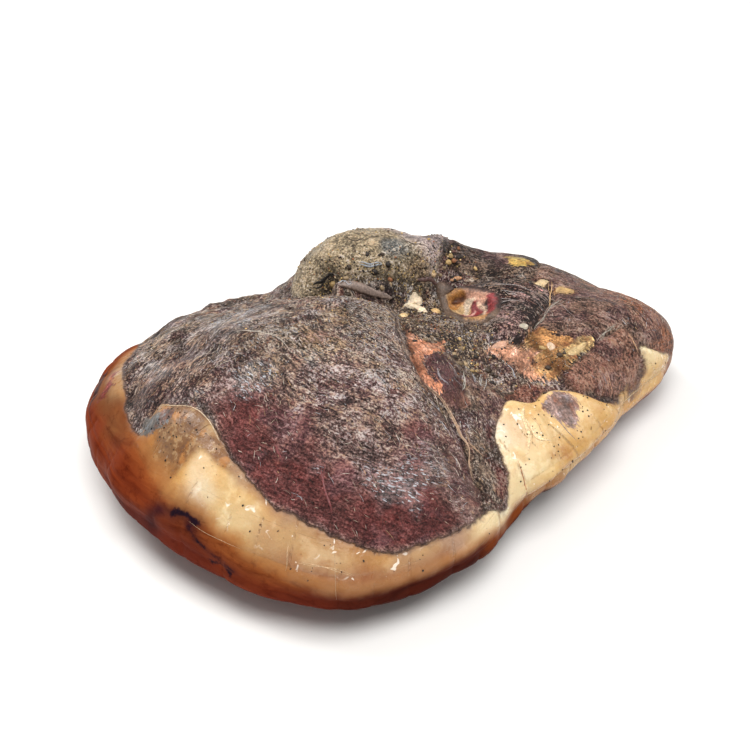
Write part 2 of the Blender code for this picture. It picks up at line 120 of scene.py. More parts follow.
fatEdge = dict(roll=0.12, atButt=0.30, alongSide=0.40, width=1.1, grain=0.02)
netting = dict(pitch=2.25, depth=0.055, halfWidth=0.34, crease=0.05, rowStart=0.84, rowStep=0.145,
               rowSpan=14.0, rowDepth=0.04, rowHalfWidth=0.22, rowCrease=0.035)
# unevenness of the flesh: how far each kind stands out
fleshValues = dict(strands=0.055, lumps=0.34, grain=0.045, knobCrags=0.085, knobGrain=0.025, byCrevice=0.09,
                   farDents=0.12, fatFolds=0.03)
unevenness = [(7.0, 0.10, 5), (3.2, 0.05, 8)]  # wave length, depth, seed


def cubic(before, start, end, after, part):
    # smooth curve from start to end, led by the values before and after: a sum of powers of the share
    bend = 2 * before - 5 * start + 4 * end - after
    twist = 3 * start - before - 3 * end + after
    return 0.5 * (2 * start + (end - before) * part + bend * part**2 + twist * part**3)


def periodic(values, angle):
    # smooth closed curve through values evenly spaced by angle: a cubic between each two of them
    values = np.asarray(values)
    place = np.mod(angle / fullTurn, 1.0) * len(values)
    first = np.floor(place).astype(int) % len(values)
    part = place - np.floor(place)
    return cubic(*(values[(first + step) % len(values)] for step in (-1, 0, 1, 2)), part)


def smoothRoute(points, closed, pieces=4):
    # the same cubic through corner points in plan
    points = np.asarray(points, float)
    if closed:
        ring = np.concatenate([points[-1:], points, points[:2]])
    else:
        ring = np.concatenate([2 * points[:1] - points[1:2], points, 2 * points[-1:] - points[-2:-1]])
    part = np.linspace(0, 1, pieces, endpoint=False)[:, None, None]
    curve = cubic(ring[:-3], ring[1:-2], ring[2:-1], ring[3:], part)
    curve = curve.transpose(1, 0, 2).reshape(-1, points.shape[1])
    return np.concatenate([curve, points[:1] if closed else points[-1:]])


def routeGap(x, y, route):
    # distance in plan to the nearest place on a route: the least over its straight pieces
    nearest = np.full(x.shape, np.inf)
    for start, end in zip(route[:-1], route[1:]):
        run = end - start
        share = np.clip(((x - start[0]) * run[0] + (y - start[1]) * run[1]) / (run @ run), 0, 1)
        nearest = np.minimum(nearest, np.hypot(x - start[0] - share * run[0], y - start[1] - share * run[1]))
    return nearest


def depthInside(x, y, outline):
    # distance to a closed outline, above zero inside, found by counting crossings
    route = smoothRoute(outline, True)
    inside = np.zeros(x.shape, bool)
    for (x0, y0), (x1, y1) in zip(route[:-1], route[1:]):
        if y0 != y1:
            inside ^= ((y0 > y) != (y1 > y)) & (x < x0 + (x1 - x0) * (y - y0) / (y1 - y0))
    return np.where(inside, 1, -1) * routeGap(x, y, route)


def dome(depth, width):
    # quarter circle from 0 at an edge to 1 at width inside it
    return np.sqrt(1 - (1 - np.clip(depth / width, 0, 1)) ** 2)


def soften(value, low, high):
    # soft change from 0 at low to 1 at high
    share = np.clip((value - low) / (high - low), 0, 1)
    return share**2 * (3 - 2 * share)


def band(value, low, start, end, high):
    # 1 between start and end, with a soft change to 0 at low and at high
    return soften(value, low, start) * (1 - soften(value, end, high))


def near(gap, width):
    # 1 on a line and less beside it: e to minus the squared gap over the width
    return np.exp(-(gap / width) ** 2)


def lobe(x, y, centreX, centreY, radiusX, radiusY, turn, squareness=2.0, sharpness=1.0):
    # exp of minus the squared, scaled distance from a centre, in turned axes
    cosTurn, sinTurn = math.cos(math.radians(turn)), math.sin(math.radians(turn))
    along = ((x - centreX) * cosTurn + (y - centreY) * sinTurn) / radiusX
    across = ((y - centreY) * cosTurn - (x - centreX) * sinTurn) / radiusY
    return np.exp(-sharpness * (along**2 + across**2) ** (squareness / 2))


def waves(points, length, seed, count=14):
    # the sum of sine waves in seeded directions, as on the solid
    chance = np.random.default_rng(seed)
    total = np.zeros(points.shape[:-1])
    for _ in range(count):
        direction = chance.normal(size=3)
        direction *= fullTurn / length / np.linalg.norm(direction) * chance.uniform(0.6, 1.5)
        total += np.sin(points @ direction + chance.uniform(0, fullTurn))
    return total / math.sqrt(count / 2)


def latticeNoise(points, size, seed):
    # smooth random values: one hashed number at each corner of a lattice, blended between the corners
    scaled = points / size
    corner = np.floor(scaled).astype(np.int64)
    part = scaled - corner
    part = part * part * (3 - 2 * part)
    total = np.zeros(points.shape[:-1])
    for step in np.ndindex(*(2,) * points.shape[-1]):
        weight = np.ones(points.shape[:-1])
        number = np.full(points.shape[:-1], seed * 7919 + 13, np.int64)
        for axis, side in enumerate(step):
            weight *= part[..., axis] if side else 1 - part[..., axis]
            number = (number ^ (corner[..., axis] + side)) * 2654435761 % 4294967296
            number ^= number >> 15
        total += weight * (number % 65536) / 32767.5
    return total - 1


def crags(points, size, seed, layers=3):
    # lattice noise in halving sizes
    return sum(latticeNoise(points, size / 2**k, seed + k) / 2**k for k in range(layers))


def wandering(x, y, points, far, size, seed):
    # plan places moved a little by noise, so that borders wander
    return (value + far * crags(points, size, seed + k) for k, value in enumerate((x, y)))


def squareToDisk(a, b):
    # reach and angle of a point of the square -1..1 made round: rings of the square become circles
    reach = np.maximum(np.abs(a), np.abs(b))
    wide = np.abs(a) > np.abs(b)
    ratioWide = b / np.where(a == 0, 1, a)
    ratioTall = a / np.where(b == 0, 1, b)
    angle = np.where(wide, math.pi / 4 * ratioWide, math.pi / 2 - math.pi / 4 * ratioTall)
    return reach, np.where(np.where(wide, a < 0, b < 0), angle + math.pi, angle)


def plainForm(reach, angle, belly):
    # a squared-off dome: spread is the sine of the reach and fall its cosine, each to a power; belly bowls
    radius, rim = periodic(form["rimRadius"], angle), periodic(form["rimHeight"], angle)
    quarter = reach * math.pi / 2
    if belly:
        spread = np.sin(quarter) ** form["bellyRounding"][0]
        height = rim * (1 - np.sqrt(np.clip(1 - spread ** form["bellyRounding"][1], 0, 1)))
        height = np.where(reach > 0.999, rim, np.maximum(height - form["flatSpotDepth"], 0))
        return np.stack([spread * radius * np.cos(angle), spread * radius * np.sin(angle), height], axis=-1)
    spread = np.sin(quarter) ** (2 / form["topRounding"][0])
    x, y = spread * radius * np.cos(angle), spread * radius * np.sin(angle)
    face = np.full(x.shape, form["faceLevel"])
    for *place, turn, rise, squareness in masses.values():
        face += rise * lobe(x, y, *place, turn, squareness, 0.7)
    fall = np.clip(np.cos(quarter), 0, 1) ** (2 / form["topRounding"][1])
    return np.stack([x, y, rim + (face - rim) * fall], axis=-1)


def runAlong(route):
    # distance along a route at each of its points
    return np.concatenate([[0], np.cumsum(np.hypot(*np.diff(route, axis=0).T))])


def wayRound(angle):
    # distance along the widest outline, and its whole length
    turn = np.linspace(0, fullTurn, 721)
    radius = periodic(form["rimRadius"], turn)
    run = runAlong(np.stack([radius * np.cos(turn), radius * np.sin(turn)], axis=-1))
    return np.interp(angle % fullTurn, turn, run), run[-1]


def netGaps(down, angle):
    # distance to the nearest string up the side, and to the nearest row round it
    run, whole = wayRound(angle)
    string = run / whole * round(whole / netting["pitch"])
    string = (string + 0.12 * np.sin(2.1 * string)) % 1
    row = (down - netting["rowStart"]) / netting["rowStep"] % 1
    rowWidth = netting["rowStep"] * netting["rowSpan"]
    return np.minimum(string, 1 - string) * netting["pitch"], np.minimum(row, 1 - row) * rowWidth


# the rind's upper edge: degrees round from +X, and how far down it starts (1 is the widest outline)
rindEdge = [(0, 1.02), (20, 0.9), (45, 0.8), (75, 0.78), (105, 0.76), (130, 0.76), (142, 0.71), (150, 0.65),
            (156, 0.61), (163, 0.62), (170, 0.645), (176, 0.68), (181, 0.705), (185, 0.73), (189, 0.755),
            (193, 0.77), (200, 0.81), (208, 0.85), (214, 0.87), (222, 0.915), (232, 0.925), (242, 0.92),
            (250, 0.91), (258, 0.91), (262, 0.945), (268, 0.98), (274, 0.95), (281, 0.99), (295, 1.10),
            (320, 1.13), (338, 1.1), (342, 1.0), (347, 1.08), (360, 1.02)]
sideLength = 14.0  # centimetres down the side for a step of 1 in reach

print("form and outlines set")

# which way the fibres run: zones turn round poles, each with the side its angle is counted from, in degrees
fibreZones = dict(
    main=(2.0, 0.0, 180),
    upperLeft=(-6.0, -8.0, 90),
    seamSide=(20.0, -8.0, 180),
    fan=(6.2, -1.2, 0),
    shank=(5.5, -6.5, 0),
)


def grainMap(points, maps):
    # along the fibres: the angle round the zone's pole times the distance from it; across them: that distance
    x, y = points[..., 0], points[..., 1]
    zones = np.zeros(x.shape, int)
    if "mainMuscle" in maps:
        zones = np.where(maps["mainMuscle"] < 0, 2, zones)
        zones = np.where((maps["fan"] > -0.3) | (maps["backRidge"] > 0), 3, zones)
        zones = np.where((x > 8.0) & (maps["fan"] < -0.1), 4, zones)
        zones = np.where((x < -4.0) & (y > 3.4 + 0.18 * (x + 4.0)) & (maps["mainMuscle"] > -3), 1, zones)
    along, across = np.zeros(x.shape), np.zeros(x.shape)
    for number, (poleX, poleY, reference) in enumerate(fibreZones.values()):
        turn = math.radians(reference)
        dx, dy = x - poleX, y - poleY
        way = np.arctan2(dy * math.cos(turn) - dx * math.sin(turn), dx * math.cos(turn) + dy * math.sin(turn))
        far = np.hypot(dx, dy)
        here = zones == number
        along, across = np.where(here, way * far, along), np.where(here, far, across)
    return np.stack([along, across, points[..., 2]], axis=-1)


def fleshRelief(points, maps):
    # what the solid leaves out on the cut face: lumps, strands that follow the fibres, crags on the knob
    x, y = maps["plan"][..., 0], maps["plan"][..., 1]
    grain = maps["grain"][..., :2]
    strands = latticeNoise(grain * np.array([0.55, 2.1]), 1, 91)
    strands = strands + 0.5 * latticeNoise(grain * np.array([1.1, 4.4]), 1, 92)
    onLean = soften(maps["leanDepth"], 0.0, 0.35)
    onKnob = soften(maps["knob"], -0.2, 0.4)
    lumps = lobe(x, y, -9.6, 4.6, 4.6, 5.6, 0) * crags(points, 2.6, 93, 2)
    rough = np.maximum(near(maps["crevice"], 0.9), lobe(x, y, 3.6, -1.8, 2.2, 4.4, 15))
    rise = fleshValues
    out = onLean * (1 - onKnob) * (rise["strands"] * strands + rise["lumps"] * lumps
                                   + rise["grain"] * crags(points, 0.9, 94)
                                   + rise["byCrevice"] * rough * crags(points, 0.8, 97))
    out += onKnob * (rise["knobCrags"] * crags(points, 1.9, 95)
                     + rise["knobGrain"] * crags(points, 0.5, 96, 2))
    # dents along the far edge and behind, where dried scraps stand up
    out += rise["farDents"] * onLean * soften(y - 0.1 * x, 4.5, 8.5) * crags(points, 1.1, 98)
    # folds of the fat on the right side, parallel to its edge
    onSide = soften(x, 2.0, 4.5) * soften(-maps["leanDepth"], 0.2, 0.8)
    folds = np.sin(maps["leanDepth"] * 5.5 + 1.3 * crags(points, 2.2, 99, 2))
    return out + rise["fatFolds"] * onSide * folds


def buildPatch(belly):
    # one of the two square grids: its plain form, its maps, and its finished points
    line = np.linspace(-1, 1, form["cells"] + 1)
    a, b = np.meshgrid(line, line, indexing="ij")
    reach, angle = squareToDisk(a, b)
    points = plainForm(reach, angle, belly)
    x, y, height = points[..., 0], points[..., 1], points[..., 2]
    degrees = np.degrees(angle) % 360
    down = 2 - reach if belly else reach
    if belly:
        # below the widest outline a place reads the maps of the outline above it
        radius = periodic(form["rimRadius"], angle)
        x, y = radius * np.cos(angle), radius * np.sin(angle)
    under = np.maximum(down - 1, 0) * sideLength
    stringGap, rowGap = netGaps(down, angle)
    edgeTurn, edgeDown = zip(*rindEdge)
    rindDepth = (down - np.interp(degrees, edgeTurn, edgeDown)) * sideLength
    run, _ = wayRound(angle - math.radians(60))
    maps = dict(degrees=degrees, down=down, stringGap=stringGap, rowGap=rowGap, under=under,
                rindDepth=rindDepth, plan=np.stack([x, y], axis=-1),
                skin=np.stack([run, down * sideLength, np.zeros(x.shape)], axis=-1))
    bumps = sum(depth * waves(points, length, seed) for length, depth, seed in unevenness)
    marks = netting["depth"] * near(stringGap, netting["halfWidth"])
    marks += netting["rowDepth"] * near(rowGap, netting["rowHalfWidth"])
    marks *= soften(down, 0.72, 0.85) * (0.35 + 0.65 * soften(latticeNoise(points, 4.0, 78), -0.5, 0.4))
    fineFat = fatEdge["grain"] * crags(points, 0.9, 31)
    crease = netting["crease"] * near(stringGap, 0.10) + netting["rowCrease"] * near(rowGap, 0.09)
    crease *= soften(down, 0.74, 0.80) * soften(latticeNoise(points, 1.6, 77), -0.6, 0.1)
    atRim = np.ones(x.shape) if belly else soften(reach, 0.88, 1.0)
    wanderX, wanderY = wandering(x, y, points, 0.14, 1.3, 51)
    leanDepth = depthInside(x, y, leanOutline) - under
    maps["leanDepth"] = depthInside(wanderX, wanderY, leanOutline) - under
    butt = soften(-x, 9, 12) * band(-y, -4.5, -2, 2, 6)
    side = soften(x, 0, 2.5) * band(degrees, 250, 275, 345, 355)
    relief = fatEdge["roll"] + fatEdge["atButt"] * butt + fatEdge["alongSide"] * side
    relief = relief * dome(-leanDepth, fatEdge["width"])
    for name, (outline, rise, width) in muscles.items():
        maps[name] = depthInside(wanderX, wanderY, outline)
        relief = relief + rise * dome(depthInside(x, y, outline), width)
    for name, (route, rise, halfWidth) in faceLines.items():
        maps[name] = routeGap(x, y, smoothRoute(route, False))
        relief = relief + rise * near(maps[name], halfWidth)
    for *place, rise in hollows.values():
        relief = relief + rise * lobe(x, y, *place, 2.4)
    maps["grain"] = grainMap(np.stack([x, y, height], axis=-1), maps)
    # a dark seam runs wherever two muscles meet
    seams = np.minimum.reduce([np.abs(maps[name]) for name in muscles])
    maps["seamGap"] = np.where(maps["leanDepth"] > 0.3, seams, 9.0)
    relief = relief - 0.07 * near(maps["seamGap"], 0.14) + fleshRelief(points, maps)
    onFat = soften(-leanDepth, 0.3, 1.0)
    out = bumps - (marks + crease) * np.maximum(onFat, atRim) + relief * (1 - atRim) + fineFat
    if belly:
        out = np.where(height < 0.9, np.minimum(out, 0), out) * soften(height, 0.1, 0.9)
    sideways = reach**3
    upright = (sideways - 1) if belly else (1 - sideways)
    wayOut = np.stack([np.cos(angle) * sideways, np.sin(angle) * sideways, upright], axis=-1)
    wayOut /= np.linalg.norm(wayOut, axis=-1, keepdims=True)
    return points + wayOut * out[..., None], maps


def gridFaces(side, flipped):
    # quads of a square grid whose corners are numbered row by row
    number = np.arange((side + 1) ** 2).reshape(side + 1, side + 1)
    quads = np.stack([number[:-1, :-1], number[1:, :-1], number[1:, 1:], number[:-1, 1:]],
                     axis=-1).reshape(-1, 4)
    return quads[:, ::-1] if flipped else quads


def closedPair(side):
    # the faces of two square grids that share their outermost corners, and which corners the lower one owns
    count = (side + 1) ** 2
    number = np.arange(count).reshape(side + 1, side + 1)
    own = np.zeros((side + 1, side + 1), bool)
    own[1:-1, 1:-1] = True
    lowerNumber = np.where(own, 0, number)
    lowerNumber[own] = count + np.arange(own.sum())
    return np.concatenate([gridFaces(side, False), lowerNumber.ravel()[gridFaces(side, True)]]), own


def stacked(top, bottom, own):
    # the values of both grids as one list
    both = np.concatenate([top.reshape(own.size, -1), bottom[own].reshape(own.sum(), -1)])
    return both[:, 0] if both.shape[1] == 1 else both


def meshFrom(name, points, faces, smooth=True):
    mesh = bpy.data.meshes.new(name)
    mesh.from_pydata(points.tolist(), [], faces.tolist())
    mesh.update()
    piece = bpy.data.objects.new(name, mesh)
    bpy.context.scene.collection.objects.link(piece)
    mesh.polygons.foreach_set("use_smooth", np.full(len(mesh.polygons), smooth))
    return piece


def addValues(piece, name, values):
    # a number, a direction or, if the name ends in Tint, a colour at each corner, for the finish to read
    kind, field = ("FLOAT", "value") if values.ndim == 1 else ("FLOAT_VECTOR", "vector")
    if name.endswith("Tint"):
        kind, field = "FLOAT_COLOR", "color"
        values = np.concatenate([values, np.ones((len(values), 1))], axis=1)
    data = piece.data.attributes.new(name, kind, "POINT").data
    data.foreach_set(field, values.astype(np.float32).ravel())


# colours in linear light
leanColours = dict(
    plain=(0.130, 0.085, 0.066),
    mainMuscle=(0.190, 0.108, 0.096),
    knob=(0.410, 0.315, 0.200),
    fan=(0.030, 0.019, 0.017),
    tip=(0.235, 0.130, 0.096),
    disc=(0.300, 0.140, 0.096),
    smallLobe=(0.066, 0.025, 0.027),
    strip=(0.190, 0.145, 0.125),
    backRidge=(0.056, 0.034, 0.027),
    wine=(0.130, 0.029, 0.028),
    tan=(0.200, 0.142, 0.108),
    # slate grey, also the colour of the painted sheen
    slateSheen=(0.230, 0.220, 0.215),
    gold=(0.230, 0.155, 0.070),
    maroon=(0.075, 0.026, 0.022),
    # crevice: near black, painted as shade in the pocket and the crevice, and on the seams
    crevice=(0.040, 0.028, 0.019),
    grit=(0.056, 0.036, 0.029),
    tipEnd=(0.330, 0.110, 0.048),
    knobBlue=(0.150, 0.165, 0.175),
    knobTan=(0.520, 0.370, 0.240),
    knobMauve=(0.400, 0.315, 0.300),
)
fatColours = dict(
    plain=(0.58, 0.385, 0.175),
    cream=(0.68, 0.525, 0.300),
    ivory=(0.70, 0.57, 0.40),
    peach=(0.50, 0.300, 0.140),
    pink=(0.330, 0.150, 0.072),
    honey=(0.550, 0.335, 0.120),
    lobe=(0.205, 0.106, 0.050),
    membrane=(0.300, 0.170, 0.098),
    amber=(0.360, 0.150, 0.030),
    olive=(0.270, 0.180, 0.105),
    chalk=(0.72, 0.63, 0.52),
)
darkMark = dict(
    # a burnt blot on the rind and the thin line down from it: way round and way down, in centimetres
    perDegree=0.28,
    blot=[(53.1, 11.7), (53.5, 11.35), (54.0, 11.35), (54.6, 11.5)],
    blotWidth=0.20,
    line=[(54.2, 11.9), (54.9, 12.6), (55.9, 13.1), (57.2, 13.6)],
    low=[(55.8, 13.7), (56.3, 13.5), (57.0, 13.9)],
    smudge=[(51.4, 13.6), (51.7, 12.6), (52.1, 11.9)],
)
rindColours = dict(
    plain=(0.185, 0.032, 0.010),
    orange=(0.170, 0.028, 0.008),
    brown=(0.270, 0.080, 0.021),
    tan=(0.150, 0.050, 0.018),
    yellow=(0.230, 0.130, 0.062),
    brick=(0.145, 0.022, 0.010),
    plum=(0.090, 0.016, 0.012),
    dark=(0.062, 0.010, 0.005),
    wedge=(0.150, 0.030, 0.005),
    stain=(0.045, 0.010, 0.012),
)

# small areas with a colour of their own: outline and colour
smallAreas = dict(
    seamPink=([(1.8, 1.5), (1.8, 0.6), (1.6, -0.5), (1.9, -1.1), (3.0, -0.8), (3.0, -1.3), (2.0, -1.9),
               (0.9, -2.4), (0.4, -2.6), (-0.1, -3.2), (-0.3, -4.0), (-0.4, -4.8), (-0.3, -5.4),
               (-0.8, -5.1), (-1.0, -4.0), (-1.0, -3.4), (-0.5, -2.5), (0.5, -0.9), (1.2, 0.4)],
               (0.47, 0.195, 0.110)),
    pinkFat=([(6.2, -2.0), (6.7, -2.4), (7.2, -3.3), (8.0, -3.8), (7.3, -4.0), (6.9, -4.3), (6.8, -4.9),
              (6.9, -5.6), (6.5, -5.5), (6.1, -4.9), (5.8, -3.9), (5.6, -3.0), (5.2, -2.1)],
              (0.52, 0.255, 0.160)),
    amberFat=([(7.8, -2.5), (8.4, -2.2), (9.0, -2.4), (9.6, -3.2), (10.3, -3.9), (9.6, -4.3), (8.8, -4.6),
               (8.9, -5.4), (8.2, -5.5), (7.7, -5.8), (7.2, -5.6), (6.8, -5.0), (6.9, -4.4), (7.4, -3.9),
               (8.0, -3.8), (7.3, -3.2)], (0.40, 0.195, 0.075)),
    creamStrip=([(8.8, -4.6), (9.5, -4.1), (10.2, -4.0), (11.3, -4.5), (10.7, -4.9), (10.0, -4.9),
                 (9.3, -5.2)],
                (0.50, 0.33, 0.15)),
    yellowBehind=([(12.0, 5.0), (12.5, 4.4), (12.9, 3.4), (12.3, 3.1), (11.5, 3.4), (11.6, 4.1)],
                  (0.56, 0.36, 0.10)),
    yellowFlake=([(11.4, 1.3), (12.1, 1.7), (12.5, 1.2), (11.9, 0.9)], (0.40, 0.24, 0.12)),
    yellowSeam=([(12.1, 0.3), (12.7, 0.5), (13.4, -0.1), (13.2, -0.5), (12.5, -0.2)], (0.40, 0.22, 0.09)),
    greyLean=([(5.7, -7.0), (6.5, -6.7), (7.2, -7.1), (7.3, -7.9), (6.9, -8.3), (6.2, -8.9), (5.7, -8.7),
               (5.4, -7.9), (5.1, -7.4)], (0.21, 0.135, 0.115)),
    cartilage=([(-14.8, 2.9), (-14.2, 3.0), (-13.8, 2.3), (-13.3, 1.7), (-13.5, 1.0), (-14.2, 1.0),
                (-14.8, 1.4), (-15.0, 2.2)], (0.112, 0.098, 0.088)),
    leftScrap=([(-15.0, 8.7), (-14.3, 9.8), (-13.6, 10.9), (-13.0, 11.5), (-12.9, 11.1), (-13.6, 9.9),
                (-14.2, 9.0), (-14.6, 8.7)], (0.045, 0.020, 0.018)),
    leftStreak=([(-14.7, 7.9), (-13.7, 8.8), (-12.8, 9.9), (-12.8, 9.4), (-13.7, 8.4), (-14.4, 7.7)],
                (0.12, 0.028, 0.022)),
)

# areas of the lean with a colour of their own, under the same grain: outline and colour
leanAreas = dict(
    pinkBranch=([(-1.0, -4.0), (-0.5, -4.8), (-0.3, -5.4), (0.3, -5.8), (1.0, -5.7), (0.9, -6.4), (0.2, -6.5),
                 (-0.4, -6.1), (-0.9, -5.4), (-1.0, -4.6)], (0.28, 0.130, 0.095)),
    redRim=([(3.5, -6.2), (4.6, -5.4), (5.4, -5.2), (6.1, -5.5), (6.5, -6.0), (5.6, -6.6), (5.0, -6.6),
             (3.9, -6.7)], (0.210, 0.075, 0.048)),
    redEdge=([(1.2, -7.5), (1.4, -7.7), (1.1, -8.3), (0.8, -8.8), (0.6, -8.7), (0.7, -8.1), (0.9, -7.7)],
             (0.090, 0.022, 0.022)),
    redEnd=([(0.5, -9.4), (0.65, -9.6), (0.75, -10.0), (0.5, -10.5), (-0.2, -10.95), (-0.5, -10.7),
             (-0.1, -10.3), (0.2, -9.8)], (0.120, 0.026, 0.026)),
)

# spots on the cut face that steer colour and texture: weight, centre x, centre y, half size, half size, turn
spots = dict(
    lumps=[(1, -9.2, 4.6, 5.4, 6.2, 0)],
    wineLow=[(1, -6.6, -11.5, 7.6, 2.6, 12), (0.9, -10.9, -4.5, 2.6, 5.5, 8)],
    wineMiddle=[(1, -5.0, 0.3, 1.4, 1.0, 30)],
    wineLeft=[(1, -9.6, -8.0, 0.5, 2.4, -18)],
    dryEnd=[(1, -2.2, -10.2, 2.0, 2.2, 0)],
    dryLeft=[(0.45, -10.1, -4.7, 1.0, 1.7, 0)],
    bloom=[(1, -2.0, 2.6, 7.5, 6.0, 20), (0.35, -2.5, -5.0, 4.5, 4.5, 0)],
    bloomFar=[(0.6, -8.5, 9.5, 6.5, 2.6, -4)],
    gold=[(1, -8.5, 11.5, 6.0, 2.6, 0), (1, -5.8, 0.6, 1.2, 2.4, 10)],
    # sheen: spots where sheen and glints are painted on the lean
    sheen=[(1, -6.0, 8.0, 2.2, 3.6, 0), (0.9, -9.4, -0.7, 1.3, 1.7, 20), (0.7, -11.6, 7.8, 1.2, 2.4, 0),
           (0.8, -11.9, 1.3, 0.9, 0.7, 0), (0.7, -6.3, -2.3, 1.2, 2.2, 20), (0.75, -6.3, -9.3, 2.6, 1.2, -15),
           (0.5, -8.8, -6.7, 1.0, 0.8, 0), (0.6, 1.6, -4.6, 0.9, 1.2, 0), (0.4, -3.4, -5.8, 1.0, 2.4, 15)],
    slateSheen=[(0.5, 0.4, 4.0, 1.8, 2.2, -30)],
    knobBlue=[(1, 4.3, 6.5, 0.9, 0.9, 0), (0.5, 5.4, 6.0, 1.3, 0.9, -30)],
    knobGold=[(1, -0.4, 9.4, 1.6, 2.4, 0)],
    knobTan=[(1, 5.5, 5.15, 0.9, 0.35, -15)],
    spice=[(1, 3.8, -1.2, 2.2, 3.4, 15), (1, 4.6, 2.8, 2.2, 1.8, 0), (0.6, 8.0, 4.8, 1.8, 0.9, -20)],
    maroonLow=[(1, 2.2, -5.6, 1.0, 1.9, 10)],
    reddish=[(0.75, -13.3, 4.5, 1.6, 2.2, 0)],
    fatIvory=[(1, -14.2, -3.0, 1.1, 1.7, -20)],
    fatCream=[(1, -13.6, -4.9, 1.1, 2.2, 18)],
    fatChalk=[(1, 2.5, -8.2, 1.5, 1.5, 0)],
    pinkLobe=[(1, -13.6, 0.6, 1.7, 2.5, 0), (0.8, -15.0, -0.5, 1.0, 1.1, 0)],
    pinkLow=[(0.8, -12.9, -2.4, 0.7, 2.4, 8)],
    grainEven=[(0.45, -2.6, -10.4, 1.8, 2.0, 0), (0.28, 0.2, -7.0, 1.6, 2.6, 0),
               (0.25, 2.4, -4.8, 1.4, 2.0, 0)],
    # painted light and shade of the lean, broad lights and darks: here the weight is the gain as a power of e
    shade=[(0.30, -4.9, 0.0, 0.9, 1.6, 0), (0.34, -4.9, -2.8, 0.9, 1.7, 0), (0.28, -3.3, -5.4, 1.3, 0.8, 0),
           (-0.34, -8.2, 3.0, 0.9, 2.6, 0), (-0.48, -13.6, 5.3, 0.9, 2.1, 0)],
    pepperOnFat=[(2.5, -13.0, 1.5, 1.8, 2.4, 0), (0.6, 7, -9, 3, 1.5, 0)],
    pepperOnDisc=[(0.5, 8.4, -4.6, 1.5, 1.0, -35)],
    spiceOnDisc=[(0.8, 8.4, -4.6, 1.3, 0.9, -35)],
    crumbs=[(1, 3.6, -1.6, 1.6, 3.2, 15), (1.2, 3.0, 5.6, 3.4, 0.6, -24), (2.5, 8.1, 5.0, 1.3, 0.8, -20),
            (0.8, 8.2, -4.6, 1.2, 0.8, -35)],
)
redPatches = [(0.8, -8.6, -8.1, 0.9, 0.9, 0), (0.8, -7.0, -9.6, 0.9, 0.9, 0), (0.7, -3.6, -7.6, 1.3, 0.7, 0)]


def spotsAt(maps, name):
    # the sum of a row of spots over the plan: each a lobe times its weight
    x, y = maps["plan"][..., 0], maps["plan"][..., 1]
    return sum(weight * lobe(x, y, *place) for weight, *place in spots[name])


def paintInto(base, colour, amount):
    # blends one colour into a map of colours by amount
    amount = np.clip(amount, 0, 1)[..., None]
    return base * (1 - amount) + np.array(colour) * amount


def painted(shape, colours, layers):
    # a map of the plain colour, with each layer, a colour's name and its amount, painted over those before it
    base = np.zeros(shape) + colours["plain"]
    for name, amount in layers:
        base = paintInto(base, colours[name], amount)
    return base


